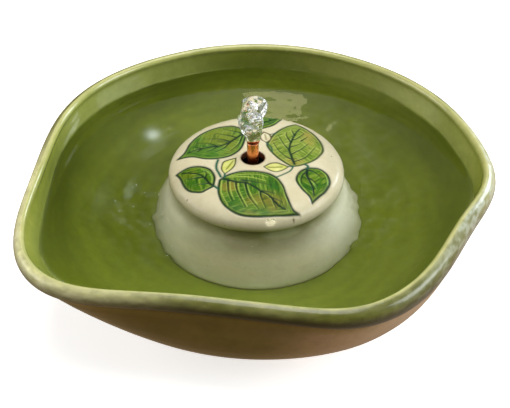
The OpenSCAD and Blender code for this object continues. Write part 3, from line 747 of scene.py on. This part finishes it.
def carve(P):
    """Carving depth (mm), painted colour and dullness at plan points P (n,2)."""
    n = len(P)
    P3 = np.c_[P, np.zeros(n)]
    cream = mixc(lin3(214, 206, 174), lin3(200, 190, 156), fbm(P3, 26, 3, 2.0))
    col = cream.copy()
    depth = np.zeros(n)
    matt = np.zeros(n)
    mott = fbm(P3, 8, 4, 11.0)
    wide = fbm(P3, 16, 2, 31.0)
    for L in LEAVES:
        poly = outline_of(L)
        lo, hi = poly.min(0) - 4, poly.max(0) + 4
        sel = np.where(((P > lo) & (P < hi)).all(1))[0]
        if not len(sel):
            continue
        Q = P[sel]
        d, _ = seg_dist(Q, poly, True)
        sd = np.where(inside_poly(Q, poly), d, -d)
        S = STYLES[L["style"]]
        small = L["style"] >= 4
        ins = smooth(-0.25, 0.3, sd)
        mo = mott[sel]
        mid = catmull(L["mid"], 8)
        # brush strokes run out from the midrib
        ax = mid[-1] - mid[0]
        ax = ax / np.hypot(*ax)
        u, v = Q @ ax, Q @ np.array([-ax[1], ax[0]])
        br = fbm(np.c_[(u + 0.8 * np.abs(v - (mid[0] @ np.array([-ax[1], ax[0]])))) / 0.8, v / 3.2, 0 * u], 1.6, 3, 13.0 + L["style"])
        g = mixc(lin3(*S["a"]), lin3(*S["b"]), smooth(0.30, 0.70, 0.55 * mo + 0.45 * br))
        g = mixc(g, lin3(*S["p"]), smooth(0.52, 0.74, wide[sel]) * 0.8)
        g = mixc(g, lin3(*S["light"]), smooth(0.55, 0.78, br) * 0.6)
        g = mixc(g, lin3(*S["a"]) * 0.45, smooth(0.44, 0.26, br) * (0.0 if small else 0.65))
        g = mixc(g, lin3(*S["a"]) * 0.7, smooth(5.0, 1.5, sd) * 0.35 * (0 if small else 1))
        # pale rim left standing inside the outline
        g = mixc(g, lin3(*S["light"]), np.exp(-((sd - 1.75) / 0.5) ** 2) * np.clip(0.3 + 1.3 * (mo - 0.3), 0, 0.8) * (0 if small else 1))
        g = g * np.array(S["k"])
        dep = (0.15 + (0.0 if small else 0.30) * (0.5 - br)) * ins
        ll = np.full(len(Q), 1e9)
        for ln in L["light"]:
            dd, w = seg_dist(Q, catmull(ln, 5))
            ll = np.minimum(ll, dd + 0.25 * np.abs(w - 0.4))
        for ln in L["veins"]:
            dd, w = seg_dist(Q, catmull(np.array(ln, float) + np.array([-1.15, 0.35]), 5))
            ll = np.minimum(ll, dd + 0.15 + 0.3 * w)
        g = mixc(g, lin3(*S["light"]) * 0.8, np.exp(-(ll / 0.55) ** 2) * np.clip(0.35 + 1.1 * mo, 0, 0.95) * ins * 0.85)
        if L["veins"]:
            gv = np.zeros(len(Q))
            for ln in L["veins"]:
                dd, w = seg_dist(Q, catmull(ln, 6))
                wid = 0.92 - 0.42 * w
                gv = np.maximum(gv, np.exp(-(dd / wid) ** 2) * (1 - 0.45 * w))
            gv = gv * ins
            g = mixc(g, lin3(*S["vein"]), np.clip(gv * 1.15, 0, 1))
            dm, wm = seg_dist(Q, mid)
            gm = np.exp(-(dm / (1.2 - 0.6 * wm)) ** 2) * ins
            g = mixc(g, lin3(*S["vein"]), np.clip(gm * 1.2, 0, 1))
            dep = dep + 0.36 * gv + 0.5 * gm
        else:
            dm, wm = seg_dist(Q, mid)
            gm = np.exp(-(dm / 0.85) ** 2) * ins
            g = mixc(g, lin3(*S["vein"]), gm * 0.85)
            dep = dep + 0.3 * gm
        col[sel] = mixc(col[sel], g, ins)
        edge = np.exp(-((sd - 0.15) / (0.66 if small else 0.98)) ** 2) * (0.94 + 0.5 * (mo - 0.5))
        line_c = lin3(56, 68, 20) if small else lin3(8, 42, 18)
        if L["style"] == 2:
            line_c = lin3(46, 66, 20)
        if L["style"] == 5:
            line_c = lin3(88, 76, 44)
        col[sel] = mixc(col[sel], line_c, np.clip(edge * 1.1, 0, 1))
        # clay pushed up just outside the cut
        dep = dep + edge * (0.5 if not small else 0.35) - 0.10 * np.exp(-((sd + 1.7) / 0.8) ** 2)
        depth[sel] = np.where(np.abs(dep) > np.abs(depth[sel]), dep, depth[sel])
        matt[sel] = np.maximum(matt[sel], 0.35 * ins)
    for pts, w in STEMS:
        line = catmull(pts, 8)
        lo, hi = line.min(0) - 4, line.max(0) + 4
        sel = np.where(((P > lo) & (P < hi)).all(1))[0]
        d, t = seg_dist(P[sel], line)
        e = np.exp(-(d / w) ** 2)
        col[sel] = mixc(col[sel], lin3(18, 84, 62), np.clip(e * 1.1, 0, 1))
        depth[sel] = np.maximum(depth[sel], 0.4 * e)
    for x, y, r in ((29.0, -65.8, 0.8), (-47.5, 47.0, 0.9), (27.5, 62.0, 0.8), (-55, -44, 0.6), (62, 8, 0.5), (12, -62, 0.0)):
        if r:
            e = np.exp(-(np.hypot(P[:, 0] - x, P[:, 1] - y) / r) ** 2)
            col = mixc(col, lin3(96, 66, 40), e * 0.9)
    return depth, col, matt


def notch_z(x, front):
    """Height of the inlet notch's edge at sideways place x."""
    z = 1.3 + np.sqrt(np.maximum(NOTCH_R ** 2 - x ** 2, 0))
    return np.where((np.abs(x) < NOTCH_R) & ~front, z, 0.0)


def build_cover():
    cols = 1000
    out = catmull(COVER_OUT, 40)
    inn = catmull(COVER_IN, 24)
    a = np.arange(cols) * 2 * math.pi / cols
    ca, sa = np.cos(a), np.sin(a)
    front = sa < 0

    def arc(q):
        return np.r_[0, np.cumsum(np.hypot(*np.diff(q, axis=0).T))]

    # outside: coarse on the skirt, fine on the carved crown
    so = arc(out)
    s_crown = np.interp(81.0, out[:, 1], so)
    s_hole = so[np.where(out[:, 0] <= HOLE_R + 0.9)[0][0]]
    step = 0.47
    s_list = np.r_[np.linspace(0, s_crown, 46)[:-1], np.arange(s_crown, s_hole, step), s_hole]
    r_o, z_o = np.interp(s_list, so, out[:, 0]), np.interp(s_list, so, out[:, 1])
    si = arc(inn)
    s_hi = si[np.where(inn[:, 0] <= HOLE_R + 1.2)[0][0]]
    t_list = np.linspace(0, s_hi, 60)
    r_i, z_i = np.interp(t_list, si, inn[:, 0]), np.interp(t_list, si, inn[:, 1])

    def place(r, z):
        """Rings slide sideways towards the spout hole's own axis."""
        k = smooth(34, HOLE_R, r)
        R, A = np.meshgrid(r, a)
        K, _ = np.meshgrid(k, a)
        Z, _ = np.meshgrid(z, a)
        return R * np.cos(A) + AXIS_X * K, R * np.sin(A), Z

    Xo, Yo, Zo = place(r_o, z_o)
    Xi, Yi, Zi = place(r_i, z_i)
    # crown height follows the true distance from the cover's own axis
    true = np.hypot(Xo, Yo)
    on_top = Zo > 86
    crown_q = out[out[:, 1] >= 80.5][::-1]
    prof_r = crown_q[:, 0]
    prof_z = crown_q[:, 1]
    Zo = np.where(on_top, np.interp(true, prof_r, prof_z), Zo)
    # arch of the notch: squeeze the lowest part of the back columns upwards
    for X, Z in ((Xo, Zo), (Xi, Zi)):
        zb = notch_z(X, np.repeat(front[:, None], X.shape[1], 1))
        low = Z < 30
        Z[low] = (zb + Z * (30 - zb) / 30)[low]
    # hand-made unevenness
    def uneven(X, Y, Z, amt):
        p = np.stack([X, Y, Z], -1).reshape(-1, 3)
        w = (fbm(p, 34, 3, 41.0).reshape(X.shape) - 0.5) * amt * smooth(0, 8, Z)
        rad = np.maximum(np.hypot(X, Y), 1)
        side = 1 - smooth(84, 90, Z)
        return X + X / rad * w * side, Y + Y / rad * w * side, Z + w * 0.5 * smooth(84, 90, Z)
    Xo, Yo, Zo = uneven(Xo, Yo, Zo, 1.6)
    # carving
    P = np.c_[Xo.ravel(), Yo.ravel()]
    dep = np.zeros(len(P))
    crown = (Zo.ravel() > 80)
    col = mixc(lin3(214, 206, 174), lin3(200, 190, 156), fbm(np.c_[P, Zo.ravel()], 26, 3, 2.0))
    mt0 = np.zeros(len(P))
    d, c, mt = carve(P[crown])
    dep[crown] = d
    col[crown] = c
    mt0[crown] = mt
    rad = np.maximum(np.hypot(P[:, 0], P[:, 1]), 1)
    # outward normal of the profile
    tr, tz = np.gradient(r_o), np.gradient(z_o)
    ln = np.hypot(tr, tz)
    nr, nz = tz / ln, -tr / ln
    NR, NZ = np.repeat(nr[None], cols, 0).ravel(), np.repeat(nz[None], cols, 0).ravel()
    z_flat = Zo.ravel()
    # tool marks on the plain ground
    tool = (fbm(np.c_[P, z_flat], 6, 3, 61.0) - 0.5) * 0.3
    dep = dep + tool * smooth(0, 10, z_flat)
    Xf = P[:, 0] - NR * dep * P[:, 0] / rad
    Yf = P[:, 1] - NR * dep * P[:, 1] / rad
    Zf = z_flat - NZ * dep
    # thin brown line at the cap's lower edge, stained foot, dark hole edge
    wl = np.exp(-((z_flat - 74.6 - 0.8 * (noise3(np.c_[P, 0 * z_flat], 14) - 0.5)) / 0.75) ** 2)
    col = mixc(col, lin3(110, 92, 54), wl * 0.5)
    # painted shadow: grey-green shade in the neck under the cap's overhang, darkest at the front right; paler again
    # towards the foot
    az = np.degrees(np.arctan2(P[:, 1], P[:, 0])) % 360
    sk = (1 - smooth(71, 75, z_flat))
    painted_neck_shadow = sk * smooth(30, 64, z_flat) * (0.40 + 0.55 * np.exp(-(((az - 288 + 180) % 360 - 180) / 48) ** 2))
    col = mixc(col, lin3(92, 90, 42), np.clip(painted_neck_shadow, 0, 0.95))
    wash = fbm(np.c_[P * 0.5, z_flat], 12, 3, 91.0)
    col = mixc(col, lin3(184, 184, 150), sk * smooth(0.40, 0.66, wash) * 0.4)
    # painted light: the skirt is paler at its left and right sides, below the cap
    side = np.exp(-(((az - 200 + 180) % 360 - 180) / 34) ** 2) + np.exp(-(((az - 338 + 180) % 360 - 180) / 34) ** 2)
    col = mixc(col, lin3(244, 242, 226), sk * np.clip(side, 0, 1) * (1 - smooth(52, 70, z_flat)) * 0.6)
    col = mixc(col, lin3(226, 224, 198), sk * np.exp(-((z_flat - 5) / 12) ** 2) * 0.6)
    base = (1 - smooth(0.8, 3.0, z_flat - np.repeat(notch_z(Xo[:, :1], front[:, None]), Xo.shape[1], 1).ravel()))
    col = mixc(col, lin3(176, 150, 116), base * 0.8)
    hole_d = np.hypot(P[:, 0] - AXIS_X, P[:, 1]) - HOLE_R
    col = mixc(col, lin3(84, 58, 40), smooth(2.0, 0.5, hole_d) * 0.62)
    # painted shade: the cap's right edge is darkened, as if turned away from the window's glare
    painted_east_shade = np.exp(-(((az - 18 + 180) % 360 - 180) / 38) ** 2) * smooth(46, 66, np.hypot(P[:, 0], P[:, 1])) * (1 - sk)
    col = col * (1 - 0.16 * painted_east_shade)[..., None]
    outer = np.stack([Xf, Yf, Zf], -1).reshape(cols, -1, 3)
    col = col.reshape(cols, -1, 3)
    matt = np.maximum(base * 0.7, mt0).reshape(cols, -1)
    # edge of the hole: round over, down the bore, back along the inside
    zt = outer[:, -1, 2]
    zi = Zi[:, -1]
    ring = []
    for dr, dz in ((0.5, -0.2), (0.15, -0.6), (0.0, -1.4), (0, -2.6)):
        ring.append(np.stack([AXIS_X + (HOLE_R + dr) * ca, (HOLE_R + dr) * sa, zt + dz], -1))
    for dr, dz in ((0, 1.6), (0.3, 0.6), (0.7, 0.15)):
        ring.append(np.stack([AXIS_X + (HOLE_R + dr) * ca, (HOLE_R + dr) * sa, zi + dz], -1))
    ring = np.stack(ring, 1)
    inner = np.stack([Xi, Yi, Zi], -1)[:, ::-1]
    # base edge, inside to outside
    i0, o0 = inner[:, -1], outer[:, 0]
    edge = np.stack([i0 + (o0 - i0) * f for f in (0.12, 0.3, 0.5, 0.7, 0.88)], 1)
    edge[:, :, 2] -= np.array([0, 0, 0, 0, 0])[None]
    V = np.concatenate([outer, ring, inner, edge], 1)
    rows = V.shape[1]
    V[:, :, 2] += FLOOR_Z
    dark = np.broadcast_to(lin3(78, 48, 34), ring.shape)
    ins = mixc(lin3(196, 180, 150), lin3(170, 150, 118), fbm(inner.reshape(-1, 3), 30, 3, 3.0)).reshape(inner.shape)
    C = np.concatenate([col, dark, ins, np.broadcast_to(lin3(186, 160, 124), edge.shape)], 1)
    M = np.concatenate([matt, np.zeros(ring.shape[:2]) + 0.1, np.zeros(inner.shape[:2]) + 0.6, np.zeros(edge.shape[:2]) + 0.8], 1)
    F = grid_faces(rows, cols, flip=False)
    c = np.arange(cols)
    c2 = (c + 1) % cols
    F = np.r_[F, np.stack([c * rows + rows - 1, c2 * rows + rows - 1, c2 * rows, c * rows], -1)]
    return make_mesh("cover_carved", V.reshape(-1, 3), F, MAT["cover_glaze"],
                     {"paint": np.clip(C.reshape(-1, 3), 0, 1), "matt": M.reshape(-1)})


cover = build_cover()
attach(cover, "cover_body")
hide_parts("pump_cover")

# ------------------------------------------------------------------ spout and hose
z0, z1 = SPOUT_Z0, SPOUT_Z0 + SPOUT_LEN
ro, ri = SPOUT_R, SPOUT_R - SPOUT_T
spout = lathe("spout_tube", [(ro - 0.2, z0), (ro, z0 + 0.2)] + [(ro, z) for z in np.linspace(z0 + 1, z1 - 1, 12)]
              + [(ro, z1 - 0.25), (ro - 0.07, z1 - 0.08), (ro - 0.22, z1), (ri + 0.22, z1), (ri + 0.06, z1 - 0.1), (ri, z1 - 0.3)]
              + [(ri, z) for z in np.linspace(z1 - 1, z0 + 1, 8)] + [(ri, z0 + 0.2), (ri + 0.2, z0)],
              MAT["copper"], x=AXIS_X)
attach(spout, "spout_body")
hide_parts("copper_spout")

# ------------------------------------------------------------------ CAD pieces keep their shape and get their finish
SLOTS = {r["node"]: r["material_slot"] for r in frame["record"]["subparts"]}
for name, ob in NODES.items():
    if name in ("bowl", "pump_cover", "copper_spout"):
        continue
    mat = MAT[SLOTS[name]]
    ob.data.materials.clear()
    ob.data.materials.append(mat)

# ------------------------------------------------------------------ water (set dressing, not part of the object)
def water_mat(name, tint, foam_and_highlight=0.0):
    m = bpy.data.materials.new(name)
    m.use_nodes = True
    nt = m.node_tree
    for n in list(nt.nodes):
        nt.nodes.remove(n)
    out = nt.nodes.new("ShaderNodeOutputMaterial")
    g = nd(nt, "ShaderNodeBsdfGlass")
    g.inputs["IOR"].default_value = 1.333
    g.inputs["Roughness"].default_value = 0.0
    g.inputs["Color"].default_value = tint
    t = nd(nt, "ShaderNodeBsdfTransparent")
    t.inputs["Color"].default_value = tint
    lp = nd(nt, "ShaderNodeLightPath")
    mx = nd(nt, "ShaderNodeMixShader")
    nt.links.new(lp.outputs["Is Shadow Ray"], mx.inputs[0])
    nt.links.new(t.outputs[0], mx.inputs[2])
    if foam_and_highlight:
        d = nd(nt, "ShaderNodeBsdfDiffuse")
        d.inputs["Color"].default_value = (0.95, 0.97, 1.0, 1)
        fm = nd(nt, "ShaderNodeMixShader")
        f = mix(nt, (0, 0, 0, 1), (foam_and_highlight, foam_and_highlight, foam_and_highlight, 1), attr(nt, "foam_and_highlight", "Fac"))
        nt.links.new(f, fm.inputs[0])
        nt.links.new(g.outputs[0], fm.inputs[1])
        nt.links.new(d.outputs[0], fm.inputs[2])
        nt.links.new(fm.outputs[0], mx.inputs[1])
    else:
        nt.links.new(g.outputs[0], mx.inputs[1])
    nt.links.new(mx.outputs[0], out.inputs[0])
    return m


def build_water():
    cols = 720
    a = np.arange(cols) * 360.0 / cols
    # where the inside wall meets the surface, found by walking up the wall
    s = np.linspace(0.5, 1.0, 200)
    edge = np.zeros(cols)
    for i, t in enumerate(a):
        r, z = inner_pt(np.array([t]), s)
        edge[i] = np.interp(WATER, z, r)
    edge += 1.2
    f = np.linspace(0, 1, 300)
    R = edge[:, None] * f[None]
    ar = np.radians(a)[:, None]
    X, Y = R * np.cos(ar), R * np.sin(ar)
    P = np.stack([X, Y, 0 * X], -1)
    n1 = fbm(P, 46, 2, 71.0) - 0.5
    n2 = fbm(P, 12.5, 2, 77.0) - 0.5
    d = np.maximum(np.hypot(X, Y) - 72, 0)
    near = np.exp(-d / 24)
    still = np.exp(-(((X + 88) / 46) ** 2 + ((Y - 58) / 52) ** 2) ** 2)
    h = (1 - 0.97 * still) * 0.05 * np.exp(-d / 30) * np.sin(2 * math.pi * d / 16 + 7 * n1 + 1.2 * np.sin(3 * ar))
    h += (1 - 0.97 * still) * 0.03 * np.exp(-d / 80) * np.sin(2 * math.pi * (d + 9 * np.sin(2 * ar + 1)) / 21 + 8 * n1)
    # small cross ripples thrown out to the left and right of the cover, calm elsewhere
    dg = np.degrees(ar) % 360
    busy = np.exp(-((dg - 212) / 25) ** 4) + np.exp(-((dg - 332) / 32) ** 4) + 0.45 * np.exp(-((dg - 30) / 30) ** 2)
    h += 2.3 * n2 * smooth(2, 16, d) * (0.04 + busy) * np.exp(-np.maximum(d - 45, 0) / 18) * (1 - 0.96 * still)
    h += 0.22 * n1 * smooth(0, 30, d) * np.exp(-d / 90) * (1 - 0.9 * still)
    # meniscus against the wall
    gap = (edge[:, None] - 1.2) - R
    h += 0.7 * np.exp(-np.maximum(gap, 0) / 1.3)
    V = np.stack([X, Y, WATER + h], -1)
    rows = len(f)
    F = grid_faces(rows, cols, flip=True)
    return make_mesh("water_surface", V.reshape(-1, 3), F, water_mat("pool_water", lin(250, 251, 247)))


def build_jet():
    """The bubbling column over the spout: thrown up inside, falling back as a lumpy sheath."""
    x0, z0 = AXIS_X, SPOUT_Z0 + SPOUT_LEN
    prof = catmull([(4.2, -1.5), (5.2, 0.2), (5.9, 3), (6.4, 6), (7.6, 9.5), (9.4, 14), (10.2, 19), (9.6, 24), (9.3, 28),
                    (10.3, 32), (10.2, 36), (8.4, 39.6), (4.6, 41.6), (0.02, 42.2)], 8)
    cols = 96
    a = np.arange(cols) * 2 * math.pi / cols
    r, z = prof[:, 0], prof[:, 1]
    R = np.repeat(r[None], cols, 0)
    Z = np.repeat(z[None], cols, 0)
    A = np.repeat(a[:, None], len(r), 1)
    base = np.stack([np.cos(A) * np.maximum(R, 3), np.sin(A) * np.maximum(R, 3), Z], -1)
    up = smooth(2, 14, Z)
    n1 = fbm(base * np.array([1, 1, 0.8]), 7.5, 2, 5.0) - 0.5
    n2 = fbm(base, 3.4, 2, 15.0) - 0.5
    n3 = fbm(base, 1.5, 1, 25.0) - 0.5
    amp = np.minimum(R / 5, 1)
    R = R + (4.6 * n1 * up + 1.7 * n2 * (0.25 + 0.75 * up) + 0.3 * n3 * up) * amp
    cx = x0 - 1.8 * smooth(8, 17, Z) * (1 - smooth(22, 30, Z)) + 1.0 * smooth(24, 34, Z)
    foam_and_highlight = smooth(0.52, 0.66, fbm(base, 3.0, 3, 45.0)) * up
    # painted highlight: a white patch low on the column's left side, mixed into the foam
    side = np.exp(-((np.degrees(A) - 205) / 34) ** 2) * np.exp(-((Z - 17) / 7) ** 2)
    foam_and_highlight = np.clip(0.30 * foam_and_highlight + 1.5 * side * (0.45 + n2), 0, 1)
    V = np.stack([cx + R * np.cos(A), R * np.sin(A), z0 + Z + 1.2 * n1 * up], -1)
    rows = len(r)
    return make_mesh("water_jet", V.reshape(-1, 3), grid_faces(rows, cols), water_mat("jet_water", (1, 1, 1, 1), 0.8),
                     {"foam_and_highlight": foam_and_highlight.reshape(-1)})


def build_bubbles():
    """Round pockets of air in the column, each a small sphere that bends the light the other way."""
    m = bpy.data.materials.new("air_bubble")
    m.use_nodes = True
    nt = m.node_tree
    for n in list(nt.nodes):
        nt.nodes.remove(n)
    out = nt.nodes.new("ShaderNodeOutputMaterial")
    g = nd(nt, "ShaderNodeBsdfGlass")
    g.inputs["IOR"].default_value = 0.75
    g.inputs["Roughness"].default_value = 0.0
    t = nd(nt, "ShaderNodeBsdfTransparent")
    lp = nd(nt, "ShaderNodeLightPath")
    mx = nd(nt, "ShaderNodeMixShader")
    nt.links.new(lp.outputs["Is Shadow Ray"], mx.inputs[0])
    nt.links.new(g.outputs[0], mx.inputs[1])
    nt.links.new(t.outputs[0], mx.inputs[2])
    nt.links.new(mx.outputs[0], out.inputs[0])
    rng = np.random.RandomState(3)
    V, F = [], []
    nu, nv = 14, 9
    z0 = SPOUT_Z0 + SPOUT_LEN
    for k in range(20):
        rad = rng.uniform(0.7, 2.3)
        h = rng.uniform(9, 37)
        rr = rng.uniform(0, 6.2)
        t = rng.uniform(0, 2 * math.pi)
        c = np.array([AXIS_X + rr * math.cos(t), rr * math.sin(t), z0 + h])
        s0 = len(V)
        V.append(c + [0, 0, rad * 0.8])
        for i in range(1, nv):
            for j in range(nu):
                p, q = math.pi * i / nv, 2 * math.pi * j / nu
                V.append(c + rad * np.array([math.sin(p) * math.cos(q), math.sin(p) * math.sin(q), 0.8 * math.cos(p)]))
        V.append(c - [0, 0, rad * 0.8])
        e = len(V) - 1
        for j in range(nu):
            j2 = (j + 1) % nu
            F.append((s0, s0 + 1 + j, s0 + 1 + j2))
            for i in range(nv - 2):
                b = s0 + 1 + i * nu
                F.append((b + j, b + nu + j, b + nu + j2, b + j2))
            b = s0 + 1 + (nv - 2) * nu
            F.append((b + j, e, b + j2))
    return make_mesh("jet_bubbles", V, F, m)


def build_drop(name, x, y, r, thick):
    """A flattened bead of water lying on the cover."""
    rad = math.hypot(x, y)
    prof = catmull(COVER_OUT, 20)
    prof = prof[prof[:, 1] >= 80.5][::-1]
    z = FLOOR_Z + float(np.interp(rad, prof[:, 0], prof[:, 1]))
    z2 = FLOOR_Z + float(np.interp(rad + 0.6, prof[:, 0], prof[:, 1]))
    sl = (z2 - z) / 0.6
    n = np.array([-sl * x / rad, -sl * y / rad, 1.0])
    n /= np.linalg.norm(n)
    t1 = np.cross([0, 0, 1.0], [x, y, 0])
    t1 /= np.linalg.norm(t1)
    t2 = np.cross(n, t1)
    V, nu, nv = [], 40, 12
    for i in range(nv + 1):
        p = math.pi / 2 * i / nv
        for j in range(nu):
            q = 2 * math.pi * j / nu
            w = r * (1 + 0.06 * math.sin(2 * q + 1))
            V.append(np.array([x, y, z]) + w * math.cos(p) ** 0.7 * (math.cos(q) * t1 + math.sin(q) * 0.85 * t2) + n * (thick * math.sin(p) - 0.1))
    F = []
    for i in range(nv):
        for j in range(nu):
            j2 = (j + 1) % nu
            F.append((i * nu + j, i * nu + j2, (i + 1) * nu + j2, (i + 1) * nu + j))
    F.append(tuple(range(nu))[::-1])
    return make_mesh(name, V, F, water_mat(name + "_water", (1, 1, 1, 1)))


for ob in (build_water(), build_jet(), build_bubbles(), build_drop("drop_front", 11.2, -70.1, 4.1, 2.5)):
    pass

# ------------------------------------------------------------------ floor, light, camera
def floor_mat():
    m, nt, b, _ = new_mat("floor")
    co = coords(nt)
    nt.links.new(ramp(nt, noise_tex(nt, co, 3, 2, 0.5), [(0.3, lin(246, 245, 243)), (0.7, lin(250, 249, 247))]), b.inputs["Base Color"])
    b.inputs["Roughness"].default_value = 0.8
    b.inputs["Specular IOR Level"].default_value = 0.1
    b.inputs["Emission Color"].default_value = (1, 0.995, 0.985, 1)
    b.inputs["Emission Strength"].default_value = 0.7
    return m


bpy.ops.mesh.primitive_plane_add(size=14, location=(0, 0, -0.0004))
floor = bpy.context.object
floor.name = "floor"
floor.data.materials.append(floor_mat())
floor.visible_glossy = False
floor.visible_diffuse = False

# a plain room: bright wall behind, darker towards the front, warm and dim below
world = bpy.data.worlds.new("studio")
bpy.context.scene.world = world
world.use_nodes = True
wn = world.node_tree
bg = wn.nodes["Background"]
bg.inputs[1].default_value = 1.0
wt = wn.nodes.new("ShaderNodeTexCoord")
sx = wn.nodes.new("ShaderNodeSeparateXYZ")
wn.links.new(wt.outputs["Generated"], sx.inputs[0])
room = ramp(wn, mapr(wn, sx.outputs[1], 0.0, 1.0, -1.0, 1.0), [(0.0, (0.07, 0.07, 0.07)), (0.5, (0.22, 0.22, 0.22)), (0.9, (0.85, 0.86, 0.88))])
shade = ramp(wn, mapr(wn, sx.outputs[0], 0.0, 1.0, -0.4, 0.4), [(0.28, (0.13, 0.13, 0.13)), (0.42, (0.75, 0.75, 0.75)), (0.53, (1.35, 1.35, 1.3)), (0.62, (0.62, 0.62, 0.62)), (0.75, (0.40, 0.40, 0.40)), (1.0, (0.6, 0.6, 0.6))])
room = mix(wn, room, shade, mapr(wn, sx.outputs[1], 0.0, 1.0, 0.35, 0.6), "MULTIPLY")
high = ramp(wn, sx.outputs[2], [(0.50, (1, 1, 1)), (0.74, (0.45, 0.45, 0.45))])
room = mix(wn, room, high, mapr(wn, sx.outputs[1], 0.0, 1.0, 0.35, 0.6), "MULTIPLY")
below = mapr(wn, sx.outputs[2], 1.0, 0.0, -0.10, 0.02)
ground = ramp(wn, mapr(wn, sx.outputs[0], 0.0, 1.0, -1.0, 1.0), [(0.0, (0.34, 0.25, 0.15)), (0.5, (0.26, 0.18, 0.10)), (0.95, (0.85, 0.66, 0.52))])
room = mix(wn, room, ground, below)
lp = wn.nodes.new("ShaderNodeLightPath")
room = mix(wn, room, (0.96, 0.96, 0.96, 1), lp.outputs["Is Camera Ray"])
wn.links.new(room, bg.inputs[0])


def area(name, loc, target, size, power, color=(1, 1, 1), size_y=None):
    d = bpy.data.lights.new(name, "AREA")
    d.shape = "RECTANGLE"
    d.size = size
    d.size_y = size_y or size
    d.energy = power
    d.color = color
    o = bpy.data.objects.new(name, d)
    o.location = loc
    o.rotation_euler = (Vector(target) - Vector(loc)).to_track_quat("-Z", "Y").to_euler()
    bpy.context.scene.collection.objects.link(o)
    return o


area("window_right", (1.7, -0.28, 1.0), (0, 0, 0.08), 1.1, 22, (0.88, 0.94, 1.0), 0.9)
area("window_back_right", (1.47, 1.13, 0.84), (0, 0, 0.08), 0.5, 9, (0.78, 0.89, 1.0), 0.4)
area("window_left", (-1.8, 0.0, 0.9), (0, 0, 0.08), 1.3, 11, (1.0, 0.99, 0.96), 0.8)
area("ceiling", (0.1, 0.0, 2.2), (0, 0, 0.05), 1.5, 34, (1.0, 0.985, 0.95))


def glow(name, corners, strength, color, round_=False):
    """A card that shines softly, far behind the object, seen only as a reflection in the water."""
    me = bpy.data.meshes.new(name)
    cs = [Vector(c) for c in corners]
    n = 16
    V, F, U = [], [], []
    for i in range(n + 1):
        for j in range(n + 1):
            u, v = i / n, j / n
            V.append(cs[0] * (1 - u) * (1 - v) + cs[1] * u * (1 - v) + cs[2] * u * v + cs[3] * (1 - u) * v)
            rho = math.hypot(u - 0.5, v - 0.5) * 2
            edge = min(u, 1 - u, v, 1 - v)
            U.append(math.exp(-(rho / 0.42) ** 2) if round_ else (1.75 if edge < 0.5 / n else 1.0))
    for i in range(n):
        for j in range(n):
            a = i * (n + 1) + j
            F.append((a, a + 1, a + n + 2, a + n + 1))
    me.from_pydata([tuple(v) for v in V], [], F)
    at = me.attributes.new("glow", "FLOAT", "POINT")
    at.data.foreach_set("value", U)
    m = bpy.data.materials.new(name)
    m.use_nodes = True
    nt = m.node_tree
    for k in list(nt.nodes):
        nt.nodes.remove(k)
    out = nt.nodes.new("ShaderNodeOutputMaterial")
    e = nd(nt, "ShaderNodeEmission")
    nt.links.new(mix(nt, (0, 0, 0, 1), tuple(c * strength for c in color) + (1,), attr(nt, "glow", "Fac")), e.inputs["Color"])
    e.inputs["Strength"].default_value = 1.0
    t = nd(nt, "ShaderNodeBsdfTransparent")
    add = nd(nt, "ShaderNodeAddShader")
    nt.links.new(e.outputs[0], add.inputs[0])
    nt.links.new(t.outputs[0], add.inputs[1])
    nt.links.new(add.outputs[0], out.inputs[0])
    me.materials.append(m)
    o = bpy.data.objects.new(name, me)
    bpy.context.scene.collection.objects.link(o)
    o.visible_camera = False
    o.visible_diffuse = False
    o.visible_shadow = False
    return o



glow("glow_shade", [(-0.0376, 1.7811, 1.2), (0.1296, 1.7972, 1.1891), (0.0936, 1.7098, 1.2402), (-0.029, 1.7105, 1.2408)], 2.7, (1.0, 0.88, 0.52))
glow("glow_lamp", [(-0.3247, 1.7004, 1.2341), (-0.2383, 1.705, 1.2373), (-0.2362, 1.6411, 1.2744), (-0.3218, 1.6365, 1.2711)], 11.0, (0.86, 0.94, 1.0), True)

cam_d = bpy.data.cameras.new("camera")
cam_d.sensor_width = 36
cam_d.lens = 76.49
cam_d.clip_start = 0.01
cam_d.clip_end = 60
cam = bpy.data.objects.new("camera", cam_d)
bpy.context.scene.collection.objects.link(cam)
EL, DIST = math.radians(38), 0.9
cam.location = (0, -DIST * math.cos(EL), EYE_Z * MM + DIST * math.sin(EL))
pitch = EL + math.radians(1.58)
yaw = math.radians(0.106)
look = Vector((-math.sin(yaw) * math.cos(pitch), math.cos(yaw) * math.cos(pitch), -math.sin(pitch)))
cam.rotation_euler = look.to_track_quat("-Z", "Y").to_euler()
bpy.context.scene.camera = cam
bpy.context.scene.view_settings.view_transform = "Standard"
